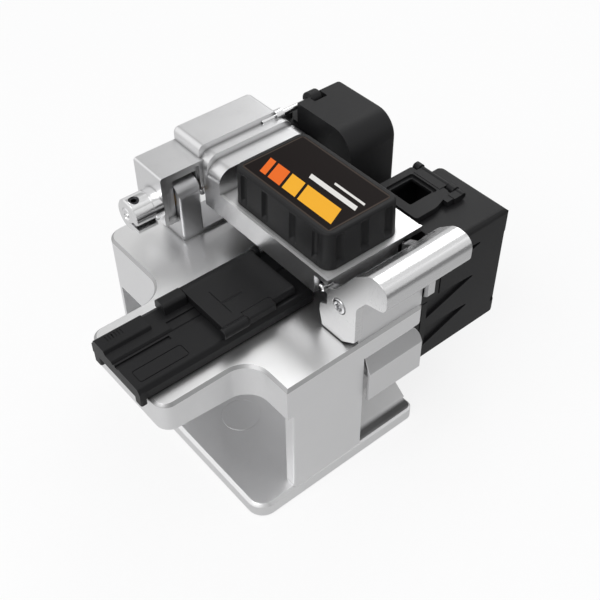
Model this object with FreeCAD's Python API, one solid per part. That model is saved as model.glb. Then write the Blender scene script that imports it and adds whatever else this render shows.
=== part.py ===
import FreeCAD, Part
import math
import os

from FreeCAD import Vector

# Fibre cleaver with scrap collector, built as separate pieces in millimetres.
# Inside this script X runs along the fibre, Y runs from the front face to the rear hinge
# and Z is up from the polished top of the base. The front left corner of that top is 0, 0, 0.
# Every piece is moved by DATUM on export, so that the origin lies on the bench top under the
# middle of the whole tool.

# Base
BASE_LEFT = -11.3
BASE_RIGHT = 48.1
BASE_REAR = 82.0
FOOT_UNDERSIDE = -47.5
FOOT_TOP = -42.9
TOP_THICK = 11.2
PLATFORM_TIP = -28.0
PLATFORM_NEAR = 15.2
PLATFORM_FAR = 50.0
TOP_LEFT_REAR = -3.2
WALL_LEFT = 1.5
CORE_LEFT = 18.0
FEET_OUT = 0.6

# Fibre line and clearances
FIBRE_Y = 33.0
FIBRE_Z = 4.2
GAP = 0.3
RUNNING_FIT = 0.05

# Lever and its hinge
HINGE_Y = 69.1
HINGE_Z = 13.9
SHAFT_R = 2.5
COLLAR_R = 4.9
COLLAR_SEAM = 5.0
COLLAR_SCREW_R = 1.55
LEVER_LEFT = 22.0
LEVER_RIGHT = 56.0
LEVER_FRONT = 11.0
LEVER_TOP = 16.6
LEVER_LOW = 8.8
LEVER_OPEN = 65.0
BOX_FRONT = 13.2
BOX_REAR = 53.6
TREAD_ONE = 24.0
TREAD_TWO = 26.0
BLOCK_TOP = 28.0
BLOCK_FRONT = HINGE_Y - 3.1
BLOCK_REAR = HINGE_Y + 10.2
BLOCK_RIGHT = 50.3
LUG_LEFT = 8.0
LUG_TOP = 24.2
LUG_LOW = 7.3
EAR_R = 6.0
EAR_LEFT = (12.9, 20.2)
EAR_RIGHT = (43.4, 47.4)

# Latch block, handle and pins
PIVOT_Y = 5.5
PIVOT_Z = 12.2
PIVOT_R = 1.25
LATCH_LEFT = 24.3
LATCH_RIGHT = 47.3
LEG_THICK = 2.6
HANDLE_LEFT = LATCH_LEFT - LEG_THICK - 0.4
HANDLE_RIGHT = LATCH_RIGHT + LEG_THICK + 0.4
GRIP_FRONT = -11.2
CATCH_Y = 12.8
CATCH_Z = 13.2
CATCH_R = 1.1
DRIVE_Y = 66.3
DRIVE_Z = 26.0
DRIVE_R = 0.9

# Blade carriage
BLADE_X = 34.1
BLADE_Y = 22.0
BLADE_Z = -4.5
BLADE_R = 9.0
BLADE_THICK = 1.0
AXLE_R = 1.5
STROKE = 24.0
CHANNEL_LOW = -25.4
CHANNEL_HIGH = -6.4
RAIL_X = 36.9
RAIL_WIDE = 7.0
RAIL_HIGH = 2.8
RAIL_LOW = -28.6
RAIL_START = 14.5
PLATE_LEFT = 26.7
PLATE_RIGHT = 46.6

# Fibre holder
HOLDER_LEFT = -30.4
HOLDER_RIGHT = 25.6
HOLDER_NEAR = 20.6
HOLDER_FAR = 43.2
HOLDER_TOP = 4.2
RAIL_TOP = 2.2
LID_LEFT = -3.0
LID_RIGHT = 20.9
LID_TOP = 6.6
LID_AXIS_Y = 41.9
LID_AXIS_Z = 5.6
CLIP_LEFT = 4.0

# Scrap collector and bin
SIDE_LEFT = 48.4
HOUSE_LEFT = 57.0
HOUSE_RIGHT = 75.0
HOUSE_NEAR = 41.5
HOUSE_REAR = 67.1
HOUSE_TOP = 28.0
BIN_NEAR = 3.5
BIN_LOW = -28.0
BIN_TOP = 12.8
BIN_DECK_REAR = 29.6
BIN_WALL = 1.6
ROLLER_X = 53.2
ROLLER_R = 2.8
ROLLER_END = HOUSE_NEAR + 6.5
ROLLER_HEIGHTS = (FIBRE_Z - ROLLER_R - 0.15, FIBRE_Z + ROLLER_R + 0.15)
DECK_LEFT = 57.5
DOOR_X = 76.0
DOOR_Z = BIN_TOP + 1.3
KNUCKLE_R = 1.05
BIN_RIGHT = DOOR_X + 8.2
DATUM = Vector(-(HOLDER_LEFT + BIN_RIGHT) / 2, -(GRIP_FRONT + BASE_REAR) / 2,
               FEET_OUT - FOOT_UNDERSIDE)


def box(x0, x1, y0, y1, z0, z1):
    """A plain block between two corners."""
    return Part.makeBox(x1 - x0, y1 - y0, z1 - z0, Vector(x0, y0, z0))


def rod_x(x0, x1, y, z, r):
    """A round bar along X."""
    return Part.makeCylinder(r, x1 - x0, Vector(x0, y, z), Vector(1, 0, 0))


def rod_y(y0, y1, x, z, r):
    """A round bar along Y."""
    return Part.makeCylinder(r, y1 - y0, Vector(x, y0, z), Vector(0, 1, 0))


def rod_z(z0, z1, x, y, r):
    """A round bar along Z."""
    return Part.makeCylinder(r, z1 - z0, Vector(x, y, z0))


def outline(corners, place):
    """A closed wire through (u, v, radius) corners; place turns u and v into a point."""
    cuts = []
    count = len(corners)
    for index, (u, v, radius) in enumerate(corners):
        here = Vector(u, v, 0)
        if radius == 0:
            cuts.append((here, None, here))
            continue
        before = Vector(corners[index - 1][0], corners[index - 1][1], 0)
        after = Vector(corners[(index + 1) % count][0], corners[(index + 1) % count][1], 0)
        back = before.sub(here).normalize()
        ahead = after.sub(here).normalize()
        half = back.getAngle(ahead) / 2
        reach = radius / math.tan(half)
        middle = back.add(ahead).normalize()
        centre = here.add(Vector(middle).multiply(radius / math.sin(half)))
        start = here.add(Vector(back).multiply(reach))
        end = here.add(Vector(ahead).multiply(reach))
        crown = centre.sub(Vector(middle).multiply(radius))
        cuts.append((start, crown, end))
    edges = []
    for index, (start, crown, end) in enumerate(cuts):
        if crown is not None:
            edges.append(Part.Arc(place(start), place(crown), place(end)).toShape())
        following = cuts[(index + 1) % count][0]
        if following.distanceToPoint(end) > 1e-6:
            edges.append(Part.makeLine(place(end), place(following)))
    return Part.Wire(edges)


def slab(corners, z0, z1):
    """A plate of the (x, y, radius) outline between two heights."""
    wire = outline(corners, lambda p: Vector(p.x, p.y, z0))
    return Part.Face(wire).extrude(Vector(0, 0, z1 - z0))


def bar_x(corners, x0, x1):
    """A bar along X with the (y, z, radius) section."""
    wire = outline(corners, lambda p: Vector(x0, p.x, p.y))
    return Part.Face(wire).extrude(Vector(x1 - x0, 0, 0))


def bar_y(corners, y0, y1):
    """A bar along Y with the (x, z, radius) section."""
    wire = outline(corners, lambda p: Vector(p.x, y0, p.y))
    return Part.Face(wire).extrude(Vector(0, y1 - y0, 0))


def round_block(x0, x1, y0, y1, z0, z1, r):
    """A block with its four upright edges rounded."""
    return slab([(x0, y0, r), (x1, y0, r), (x1, y1, r), (x0, y1, r)], z0, z1)


def socket_head(radius, height, key):
    """A socket head screw head standing on Z = 0, with a hexagon recess across key."""
    head = Part.makeCylinder(radius, height)
    head = head.makeChamfer(0.15, [e for e in head.Edges if e.BoundBox.ZMin > height - 0.01])
    ring = [Vector(key / 1.732 * math.cos(a * math.pi / 3), key / 1.732 * math.sin(a * math.pi / 3),
                   height * 0.4) for a in range(7)]
    recess = Part.Face(Part.makePolygon(ring)).extrude(Vector(0, 0, height))
    return head.cut(recess)


def aim(shape, position, direction):
    """Turn a shape made along Z to a direction and put its foot at a position."""
    turned = shape.copy()
    turned.Placement = FreeCAD.Placement(position, FreeCAD.Rotation(Vector(0, 0, 1), direction))
    return turned


def soften(shape, size, chosen):
    """Chamfer the edges that the rule picks."""
    return shape.makeChamfer(size, [e for e in shape.Edges if chosen(e.BoundBox)])


def top_outline():
    """The top plate seen from above, with the platform arm and its two finger notches."""
    return [(-0.5, 0, 0), (BASE_RIGHT, 0, 2.5), (BASE_RIGHT, BASE_REAR, 2.5),
            (TOP_LEFT_REAR, BASE_REAR, 5), (TOP_LEFT_REAR, PLATFORM_FAR, 8),
            (PLATFORM_TIP, PLATFORM_FAR, 4), (PLATFORM_TIP, PLATFORM_NEAR, 4),
            (-0.5, PLATFORM_NEAR, 7)]


def base_frame():
    """The milled body: foot, C-shaped walls, top plate with platform arm, channel and scoop."""
    top = soften(slab(top_outline(), -TOP_THICK, 0), 0.8, lambda b: b.ZMin > -0.01)
    taper = bar_y([(PLATFORM_TIP - 1, -9.2, 0), (-3, -TOP_THICK, 0), (-3, -TOP_THICK - 1, 0),
                   (PLATFORM_TIP - 1, -TOP_THICK - 1, 0)], PLATFORM_NEAR - 1, PLATFORM_FAR + 1)
    top = top.cut(taper)
    deep = slab(top_outline(), -18, -TOP_THICK).common(box(-4, 20, 58, 83, -18, -TOP_THICK))
    walls = slab([(WALL_LEFT, 0, 0.8), (BASE_RIGHT, 0, 2.5), (BASE_RIGHT, BASE_REAR, 2.5),
                  (TOP_LEFT_REAR, BASE_REAR, 5), (TOP_LEFT_REAR, BASE_REAR - 5.2, 0),
                  (CORE_LEFT, BASE_REAR - 5.2, 4), (CORE_LEFT, 4.2, 4), (WALL_LEFT, 4.2, 0.8)],
                 FOOT_TOP, -TOP_THICK)
    foot = slab([(BASE_LEFT, 0, 5), (BASE_RIGHT, 0, 2.5), (BASE_RIGHT, BASE_REAR, 2.5),
                 (BASE_LEFT, BASE_REAR, 5)], FOOT_UNDERSIDE, FOOT_TOP)
    foot = soften(foot, 0.9, lambda b: b.ZMin > FOOT_TOP - 0.01 and b.XMax < 0)
    frame = top.multiFuse([deep, walls, foot])
    channel = box(27.2, 46.6, -1, 72, CHANNEL_LOW, CHANNEL_HIGH)
    mouth = box(25.9, BASE_RIGHT + 1, -1, STROKE + 6, CHANNEL_LOW, CHANNEL_HIGH)
    scoop = bar_x([(-1, CHANNEL_LOW + 0.1, 0), (13, CHANNEL_LOW + 0.1, 0), (12, -37, 7),
                   (4, FOOT_TOP - 0.3, 3), (-1, FOOT_TOP - 0.3, 0)], 25.9, BASE_RIGHT + 1)
    blade_slot = round_block(31.0, 38.8, BLADE_Y - BLADE_R - 1.9, 57.0, CHANNEL_HIGH - 0.1, 0.1, 1.5)
    rail_slot = box(RAIL_X - 7.0, RAIL_X + 7.0, RAIL_START, 72, RAIL_LOW, CHANNEL_LOW + 0.1)
    belly = round_block(23, 43, 27, 67, FOOT_UNDERSIDE + 1.6, -31.0, 3)
    cover_seat = round_block(20, 46, 15, 70, FOOT_UNDERSIDE - 0.1, FOOT_UNDERSIDE + 1.6, 3)
    mark = rod_z(FOOT_TOP - 0.15, FOOT_TOP + 0.1, 5.6, 30.6, 6.0)
    mark = mark.cut(rod_z(FOOT_TOP - 0.2, FOOT_TOP + 0.2, 5.6, 30.6, 5.7))
    frame = frame.cut(channel.multiFuse([mouth, scoop, blade_slot, rail_slot]))
    frame = frame.cut(belly.fuse(cover_seat)).cut(mark)
    for x, y in foot_places():
        frame = frame.cut(rod_z(FOOT_UNDERSIDE - 0.1, FOOT_UNDERSIDE + 0.8, x, y, 4.0))
    for x, y in cover_screws_places():
        frame = frame.cut(rod_z(FOOT_UNDERSIDE, FOOT_UNDERSIDE + 8, x, y, 1.0))
    return frame.removeSplitter()


def foot_places():
    """Middles of the four rubber feet."""
    return [(x, y) for x in (BASE_LEFT + 8, BASE_RIGHT - 6.5) for y in (7.0, BASE_REAR - 7.0)]


def cover_screws_places():
    """Middles of the four underside cover screws."""
    return [(x, y) for x in (24.0, 42.0) for y in (20.0, 66.0)]


def rubber_feet():
    """Four rubber pads pressed into the underside."""
    pads = [rod_z(FOOT_UNDERSIDE - FEET_OUT, FOOT_UNDERSIDE + 0.8, x, y, 4.0) for x, y in foot_places()]
    pads = [soften(p, 0.3, lambda b: b.ZMax < FOOT_UNDERSIDE - 0.5) for p in pads]
    return Part.makeCompound(pads)


def underside_cover():
    """The plate that closes the milled hollow from below."""
    plate = round_block(20.1, 45.9, 15.1, 69.9, FOOT_UNDERSIDE + 0.1, FOOT_UNDERSIDE + 1.6, 2.8)
    for x, y in cover_screws_places():
        plate = plate.cut(rod_z(FOOT_UNDERSIDE, FOOT_UNDERSIDE + 2, x, y, 1.0))
        cone = Part.makeCone(2.0, 1.0, 1.0, Vector(x, y, FOOT_UNDERSIDE + 0.1))
        plate = plate.cut(cone)
    return plate


def underside_screws():
    """Four countersunk screws that hold the underside cover."""
    screws = []
    for x, y in cover_screws_places():
        head = Part.makeCone(2.0, 1.0, 1.0, Vector(x, y, FOOT_UNDERSIDE + 0.1))
        screw = head.fuse(rod_z(FOOT_UNDERSIDE + 1.1, FOOT_UNDERSIDE + 7.5, x, y, 1.0))
        slot = box(x - 1.2, x + 1.2, y - 0.2, y + 0.2, FOOT_UNDERSIDE, FOOT_UNDERSIDE + 0.5)
        cross = box(x - 0.2, x + 0.2, y - 1.2, y + 1.2, FOOT_UNDERSIDE, FOOT_UNDERSIDE + 0.5)
        screws.append(screw.cut(slot.fuse(cross)))
    return Part.makeCompound(screws)


def latch_block():
    """The front block that carries the handle pivots and the closing magnet."""
    block = bar_x([(0.9, 0, 0), (13.0, 0, 0), (13.0, 8.0, 1.2), (9.4, 9.2, 0.8),
                   (9.4, PIVOT_Z + 3.9, 3.6), (1.7, PIVOT_Z + 3.9, 3.6), (0.9, 9.0, 0.6)],
                  LATCH_LEFT, LATCH_RIGHT)
    block = block.cut(rod_x(LATCH_LEFT - 1, LATCH_LEFT + 5, PIVOT_Y, PIVOT_Z, PIVOT_R))
    block = block.cut(rod_x(LATCH_RIGHT - 5, LATCH_RIGHT + 1, PIVOT_Y, PIVOT_Z, PIVOT_R))
    return block.cut(rod_z(6.0, 9.0, 36.0, 11.1, 1.5))


def closing_magnet():
    """A small disc magnet let into the latch block."""
    return rod_z(6.0, 8.0, 36.0, 11.1, 1.5)


def handle_section():
    """The handle's side outline: hook, half-round grip, concave underside, leg and toe."""
    return [(10.3, 9.4, 0.6), (10.3, 15.4, 1.4), (6.8, 17.0, 2.0), (0.5, 25.8, 3.0),
            (-5.0, 30.0, 4.2), (GRIP_FRONT, 29.6, 3.6), (GRIP_FRONT, 21.8, 2.8),
            (-4.2, 20.2, 1.5), (-0.8, 15.6, 3.4), (-0.8, 3.4, 1.0), (4.0, 0.4, 0.6),
            (12.0, 0.4, 0.5), (13.2, 5.4, 0.8), (13.0, 8.0, 0.7)]


def handle():
    """The half-round latch handle: two legs that hang on the pivots and the grip between them."""
    left = bar_x(handle_section(), HANDLE_LEFT, HANDLE_LEFT + LEG_THICK)
    right = bar_x(handle_section(), HANDLE_RIGHT - LEG_THICK, HANDLE_RIGHT)
    grip = bar_x(handle_section(), HANDLE_LEFT + LEG_THICK, HANDLE_RIGHT - LEG_THICK)
    keep = bar_x([(-14, 14, 0), (-0.9, 17.4, 0), (-0.9, 32, 0), (-14, 32, 0)], 20, 52)
    body = left.multiFuse([right, grip.common(keep)])
    bore = PIVOT_R + RUNNING_FIT
    body = body.cut(rod_x(HANDLE_LEFT - 1, HANDLE_RIGHT + 1, PIVOT_Y, PIVOT_Z, bore))
    seat = 2.4
    body = body.cut(rod_x(HANDLE_LEFT - 1, HANDLE_LEFT + 1.0, PIVOT_Y, PIVOT_Z, seat))
    return body.cut(rod_x(HANDLE_RIGHT - 1.0, HANDLE_RIGHT + 1, PIVOT_Y, PIVOT_Z, seat))


def pivot_screws():
    """Two socket screws on which the handle turns."""
    screws = []
    for face, inward, sign in ((HANDLE_LEFT, LATCH_LEFT + 4, 1), (HANDLE_RIGHT, LATCH_RIGHT - 4, -1)):
        head = aim(socket_head(2.25, 1.3, 1.5), Vector(face + sign * 0.95, PIVOT_Y, PIVOT_Z),
                   Vector(-sign, 0, 0))
        low, high = sorted((face + sign * 0.95, inward))
        screws.append(head.fuse(rod_x(low, high, PIVOT_Y, PIVOT_Z, PIVOT_R)))
    return Part.makeCompound(screws)


def pedestal():
    """The hinge stand: a foot with two ears that carry the shaft bushings."""
    ears = []
    for x0, x1 in (EAR_LEFT, EAR_RIGHT):
        low = HINGE_Y - EAR_R + 0.8
        high = HINGE_Y + EAR_R - 0.8
        ear = bar_x([(low, 0, 0), (high, 0, 0), (high, HINGE_Z + EAR_R - 0.8, 5.1),
                     (low, HINGE_Z + EAR_R - 0.8, 5.1)], x0, x1)
        ears.append(ear.common(round_block(x0, x1, low, high, 0, HINGE_Z + EAR_R, 0.9)))
    web = box(EAR_LEFT[0], EAR_RIGHT[1], HINGE_Y - 5.2, HINGE_Y + 5.2, 0, 1.2)
    stand = web.multiFuse(ears)
    bore = SHAFT_R + 1.0
    return stand.cut(rod_x(EAR_LEFT[0] - 1, EAR_RIGHT[1] + 1, HINGE_Y, HINGE_Z, bore))


def bushings():
    """Bronze bushings in the two ears."""
    rings = []
    for x0, x1 in (EAR_LEFT, EAR_RIGHT):
        ring = rod_x(x0, x1, HINGE_Y, HINGE_Z, SHAFT_R + 1.0)
        rings.append(ring.cut(rod_x(x0 - 1, x1 + 1, HINGE_Y, HINGE_Z, SHAFT_R + RUNNING_FIT)))
    return Part.makeCompound(rings)


def hinge_shaft():
    """The lever's hinge shaft, from the clamp collar to the end of the rear block."""
    shaft = rod_x(-1.5, BLOCK_RIGHT + 0.3, HINGE_Y, HINGE_Z, SHAFT_R)
    return soften(shaft, 0.4, lambda b: b.XMax - b.XMin < 0.01)


def clamp_collar():
    """The split collar on the shaft's left end, with its slit, lower lip and seam."""
    collar = rod_x(-1.3, LUG_LEFT - 0.02, HINGE_Y, HINGE_Z, COLLAR_R)
    collar = soften(collar, 0.4, lambda b: b.XMax < -1.2)
    lip = box(-1.3, COLLAR_SEAM, HINGE_Y - COLLAR_R - 0.7, HINGE_Y - 2.8, HINGE_Z - 2.9, HINGE_Z - 2.0)
    collar = collar.fuse(lip).cut(rod_x(-3, 10, HINGE_Y, HINGE_Z, SHAFT_R))
    slit = box(-3, COLLAR_SEAM, HINGE_Y - 6, HINGE_Y, HINGE_Z - 2.0, HINGE_Z - 0.8)
    line = box(-3, COLLAR_SEAM, HINGE_Y - 6, HINGE_Y - COLLAR_R + 0.3, HINGE_Z + 0.4, HINGE_Z + 0.65)
    seam = rod_x(COLLAR_SEAM, COLLAR_SEAM + 0.2, HINGE_Y, HINGE_Z, COLLAR_R + 1)
    seam = seam.cut(rod_x(COLLAR_SEAM, COLLAR_SEAM + 0.2, HINGE_Y, HINGE_Z, COLLAR_R - 0.2))
    hole = rod_z(HINGE_Z, HINGE_Z + 6, 1.0, HINGE_Y - 0.7, COLLAR_SCREW_R)
    return collar.cut(slit.multiFuse([line, seam, hole]))


def collar_screw():
    """The socket set screw that presses on the shaft."""
    foot = HINGE_Z + SHAFT_R + 0.05
    return socket_head(COLLAR_SCREW_R, 2.0, 1.6).translate(Vector(1.0, HINGE_Y - 0.7, foot))


def opening_spring():
    """The torsion spring round the shaft that lifts the lever."""
    wire_r = 0.5
    coil_r = SHAFT_R + 1.1
    first = 21.4
    turns = 5
    helix = Part.makeHelix(1.3, 1.3 * turns, coil_r)
    section = Part.Wire(Part.makeCircle(wire_r, Vector(coil_r, 0, 0), Vector(0, 1, 0)))
    coil = Part.Wire(helix).makePipeShell([section], True, True)
    coil.Placement = FreeCAD.Placement(Vector(first, HINGE_Y, HINGE_Z),
                                       FreeCAD.Rotation(Vector(0, 0, 1), Vector(1, 0, 0)))
    return coil.fuse(rod_z(1.1, HINGE_Z - coil_r, first, HINGE_Y, wire_r))


def lever_frame():
    """The lever casting: tray, side walls, stepped rear, hinge block and side lug."""
    deck = slab([(LEVER_LEFT, LEVER_FRONT, 0.8), (LEVER_RIGHT, LEVER_FRONT, 1.5),
                 (LEVER_RIGHT, 60, 1.5), (LEVER_LEFT, 60, 0)], 14.6, LEVER_TOP - 0.4)
    rim = box(LEVER_LEFT, LEVER_LEFT + 0.9, LEVER_FRONT, 57.2, 14.6, LEVER_TOP)
    rim = rim.fuse(box(LEVER_LEFT, LEVER_RIGHT, LEVER_FRONT, LEVER_FRONT + 0.9, 14.6, LEVER_TOP - 0.2))
    left = box(LEVER_LEFT, LEVER_LEFT + 2.2, LEVER_FRONT, BLOCK_FRONT, LEVER_LOW, LEVER_TOP - 0.4)
    right = box(45.8, 48.0, LEVER_FRONT, BLOCK_FRONT, LEVER_LOW, LEVER_TOP - 0.4)
    nose = box(LEVER_LEFT, 48.0, LEVER_FRONT, 15.2, LEVER_LOW + 0.2, LEVER_TOP - 0.4)
    arch = bar_y([(LEVER_LEFT, LEVER_LOW, 0), (LEVER_LEFT, TREAD_ONE, 4.5), (54.4, TREAD_ONE, 4.5),
                  (LEVER_RIGHT, 14.6, 0), (48, 14.6, 0), (48, LEVER_LOW, 0)], 57, 62.6)
    step = bar_y([(LEVER_LEFT, LEVER_LOW, 0), (LEVER_LEFT, TREAD_TWO, 4.0), (52.4, TREAD_TWO, 3.0),
                  (53.0, 20, 0), (48, 14.6, 0), (48, LEVER_LOW, 0)], 62.5, BLOCK_FRONT + 0.1)
    block = bar_y([(LEVER_LEFT + 0.02, 7.0, 1.0), (LEVER_LEFT + 0.02, BLOCK_TOP, 2.0),
                   (BLOCK_RIGHT, BLOCK_TOP, 2.0), (BLOCK_RIGHT, 7.0, 1.0)], BLOCK_FRONT, BLOCK_REAR)
    block = block.makeFillet(1.6, [e for e in block.Edges
                                   if e.BoundBox.YMin > BLOCK_REAR - 0.01])
    lug = bar_y([(LUG_LEFT, LUG_LOW, 0.8), (LUG_LEFT, LUG_TOP, 0.8), (LEVER_LEFT + 3, LUG_TOP, 0),
                 (LEVER_LEFT + 3, LUG_LOW, 0)], BLOCK_FRONT - 1.2, BLOCK_REAR - 0.3)
    lug = soften(lug, 0.8, lambda b: b.YMin > BLOCK_REAR - 0.31 and b.XMax < LEVER_LEFT + 3.1)
    frame = deck.multiFuse([rim, left, right, nose, arch, step, block, lug])
    nose_round = rod_x(BLOCK_RIGHT - 1, BLOCK_RIGHT + 1.6, DRIVE_Y, DRIVE_Z, 1.8)
    frame = frame.fuse(nose_round)
    hollow = round_block(LEVER_LEFT + 2.2, 45.8, 15.2, 62.0, LEVER_LOW - 1, 14.6, 0.6)
    arch_hollow = bar_y([(LEVER_LEFT + 2.2, 7, 0), (LEVER_LEFT + 2.2, 21.4, 3), (52, 21.4, 3),
                         (52, 13.5, 0), (45.8, 13.5, 0), (45.8, 7, 0)], 58.4, 61.0)
    toe_room = box(LEVER_LEFT - 1, LATCH_LEFT, LEVER_FRONT - 1, 16.2, 7, 15.0)
    toe_room = toe_room.fuse(box(LATCH_RIGHT, HANDLE_RIGHT + 0.7, LEVER_FRONT - 1, 16.2, 7, 14.7))
    ears = []
    for x0, x1 in (EAR_LEFT, EAR_RIGHT):
        ears.append(box(x0 - GAP, x1 + GAP, 61.9, BLOCK_REAR + 1, 0, HINGE_Z))
        ears.append(rod_x(x0 - GAP, x1 + GAP, HINGE_Y, HINGE_Z, 7.3))
        swept = box(x0 - GAP, x1 + GAP, HINGE_Y - 5.6, HINGE_Y + 5.6, HINGE_Z - 20, HINGE_Z)
        ears.append(swept.rotate(Vector(0, HINGE_Y, HINGE_Z), Vector(1, 0, 0), LEVER_OPEN))
    spring_room = rod_x(20, 30, HINGE_Y, HINGE_Z, 4.5)
    spring_room = spring_room.fuse(box(20, 30, HINGE_Y - 4.5, HINGE_Y + 11, 0, HINGE_Z))
    pocket = bar_y([(LUG_LEFT + 1.2, LUG_LOW + 1.4, 0.3), (21.0, LUG_LOW + 1.4, 0.3),
                    (21.0, LUG_TOP - 1.2, 0.5), (LUG_LEFT + 1.2, LUG_TOP - 1.2, 0.5)],
                   BLOCK_FRONT - 2, HINGE_Y - SHAFT_R - 0.4)
    hub_room = rod_x(BLOCK_RIGHT + 0.01, 60, HINGE_Y, HINGE_Z, 8.2)
    web_room = box(12, 49, 61.9, BLOCK_REAR + 1, 0, 4.2)
    frame = frame.cut(hollow.multiFuse([arch_hollow, toe_room, spring_room, pocket, hub_room,
                                        web_room] + ears))
    frame = frame.cut(rod_x(0, 60, HINGE_Y, HINGE_Z, SHAFT_R))
    frame = frame.cut(rod_x(LEVER_LEFT - 1, 51, CATCH_Y, CATCH_Z, CATCH_R))
    frame = frame.cut(rod_x(BLOCK_RIGHT - 6, BLOCK_RIGHT + 3, DRIVE_Y, DRIVE_Z, DRIVE_R))
    return frame.removeSplitter()


def catch_pin():
    """The cross pin at the lever's front end that the handle's toes lift."""
    pin = rod_x(HANDLE_LEFT - 0.1, HANDLE_RIGHT + 0.3, CATCH_Y, CATCH_Z, CATCH_R)
    return soften(pin, 0.3, lambda b: b.XMax - b.XMin < 0.01)


def drive_pin():
    """The pin on the lever's rear block that swings the collector's drive arm."""
    return rod_x(BLOCK_RIGHT - 5.8, 66.0, DRIVE_Y, DRIVE_Z, DRIVE_R)


def drive_arm():
    """The black arm on the collector's axle that the drive pin carries along."""
    x0, x1 = 62.0, 65.8
    arm = rod_x(x0, x1, DRIVE_Y, DRIVE_Z, 2.6).fuse(rod_x(x0, x1, HINGE_Y, HINGE_Z, 4.0))
    dy = DRIVE_Y - HINGE_Y
    dz = DRIVE_Z - HINGE_Z
    reach = math.hypot(dy, dz)
    web = box(x0, x1, -1.9, 1.9, 0, reach)
    web.rotate(Vector(0, 0, 0), Vector(1, 0, 0), math.degrees(math.atan2(-dy, dz)))
    web.translate(Vector(0, HINGE_Y, HINGE_Z))
    arm = arm.fuse(web).cut(rod_x(x0 - 1, x1 + 1, DRIVE_Y, DRIVE_Z, DRIVE_R))
    return arm.cut(rod_x(x0 - 1, x1 + 1, HINGE_Y, HINGE_Z, AXLE_R + RUNNING_FIT)).removeSplitter()


def cover_box():
    """The black ribbed box on the lever with a recessed field for the label."""
    low = [(24.0, BOX_FRONT), (49.9, BOX_REAR)]
    high = [(24.4, BOX_FRONT + 0.5), (49.5, BOX_REAR - 0.5)]
    wires = []
    for (corner, z) in ((low, LEVER_TOP - 0.4), (high, 28.0)):
        (x0, y0), (x1, y1) = corner
        wires.append(outline([(x0, y0, 3.2), (x1, y0, 3.2), (x1, y1, 3.2), (x0, y1, 3.2)],
                             lambda p, z=z: Vector(p.x, p.y, z)))
    body = Part.makeLoft(wires, True, True)
    body = body.makeFillet(0.7, [e for e in body.Edges if e.BoundBox.ZMin > 27.9])
    cuts = []
    for y in (18.4, 27.6, 39.2, 48.4):
        for x in (23.7, 50.2):
            cuts.append(rod_z(LEVER_TOP + 1.2, 26.6, x, y, 1.4))
    for x in (28.4, 36.9, 45.4):
        for y in (BOX_FRONT - 0.3, BOX_REAR + 0.3):
            cuts.append(rod_z(LEVER_TOP + 1.2, 26.6, x, y, 1.4))
    cuts.append(round_block(25.6, 48.3, BOX_FRONT + 1.7, BOX_REAR - 1.7, 27.75, 29, 2.2))
    return body.cut(cuts[0].multiFuse(cuts[1:]))


def label_plate():
    """The bare label panel in the top of the cover box."""
    return round_block(25.7, 48.2, BOX_FRONT + 1.8, BOX_REAR - 1.8, 27.75, 27.95, 2.1)


def cover_screws():
    """Four screws from below that hold the cover box on the lever's deck."""
    screws = []
    for x in (28.5, 43.0):
        for y in (19.0, 46.0):
            head = aim(socket_head(1.5, 1.0, 1.2), Vector(x, y, 14.6), Vector(0, 0, -1))
            screws.append(head)
    return Part.makeCompound(screws)


def clamp_seats_low():
    """Lower clamp blocks on either side of the blade slot."""
    seats = []
    for x0, x1 in ((26.6, 30.4), (39.4, 43.2)):
        seat = round_block(x0, x1, FIBRE_Y - 8, FIBRE_Y + 8, 0, 3.3, 0.5)
        seats.append(soften(seat, 0.3, lambda b: b.ZMin > 3.29))
    return Part.makeCompound(seats)


def clamp_pads_low():
    """Rubber faces of the lower clamps."""
    pads = [box(x0 + 0.5, x1 - 0.5, FIBRE_Y - 7, FIBRE_Y + 7, 3.3, 4.1)
            for x0, x1 in ((26.6, 30.4), (39.4, 43.2))]
    return Part.makeCompound(pads)


def clamp_arms_high():
    """Upper clamp blocks under the lever's deck."""
    arms = []
    for x0, x1 in ((26.6, 30.4), (39.4, 43.2)):
        arms.append(box(x0, x1, FIBRE_Y - 6, FIBRE_Y + 6, 5.3, 14.6))
    return Part.makeCompound(arms)


def clamp_pads_high():
    """Rubber faces of the upper clamps."""
    pads = [box(x0 + 0.5, x1 - 0.5, FIBRE_Y - 6, FIBRE_Y + 6, 4.4, 5.3)
            for x0, x1 in ((26.6, 30.4), (39.4, 43.2))]
    return Part.makeCompound(pads)


def anvil():
    """The anvil on its stem, over the blade's path."""
    stem = box(31.6, 36.6, FIBRE_Y - 3, FIBRE_Y + 3, 7.0, 14.6)
    tip = bar_x([(FIBRE_Y - 2, 7.1, 0), (FIBRE_Y + 2, 7.1, 0), (FIBRE_Y + 0.8, 5.0, 0.4),
                 (FIBRE_Y - 0.8, 5.0, 0.4)], 32.6, 35.6)
    return stem.fuse(tip).removeSplitter()


def guide_rail():
    """The hardened rail in the slot of the channel floor."""
    half = RAIL_WIDE / 2
    rail = box(RAIL_X - half, RAIL_X + half, RAIL_START, 71.5, RAIL_LOW, RAIL_LOW + RAIL_HIGH)
    groove = []
    for x in (RAIL_X - half, RAIL_X + half):
        groove.append(rod_y(RAIL_START - 1, 73, x, RAIL_LOW + 1.6, 0.5))
    return rail.cut(groove[0].fuse(groove[1]))


def slide_block():
    """The bearing block that straddles the rail."""
    reach = RAIL_WIDE / 2 + GAP
    y0 = RAIL_START + 0.6
    block = box(RAIL_X - 6.6, RAIL_X + 6.6, y0, y0 + 26, RAIL_LOW + 0.4, -19.0)
    return block.cut(box(RAIL_X - reach, RAIL_X + reach, y0 - 1, y0 + 27, RAIL_LOW,
                         RAIL_LOW + RAIL_HIGH + GAP))


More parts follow.
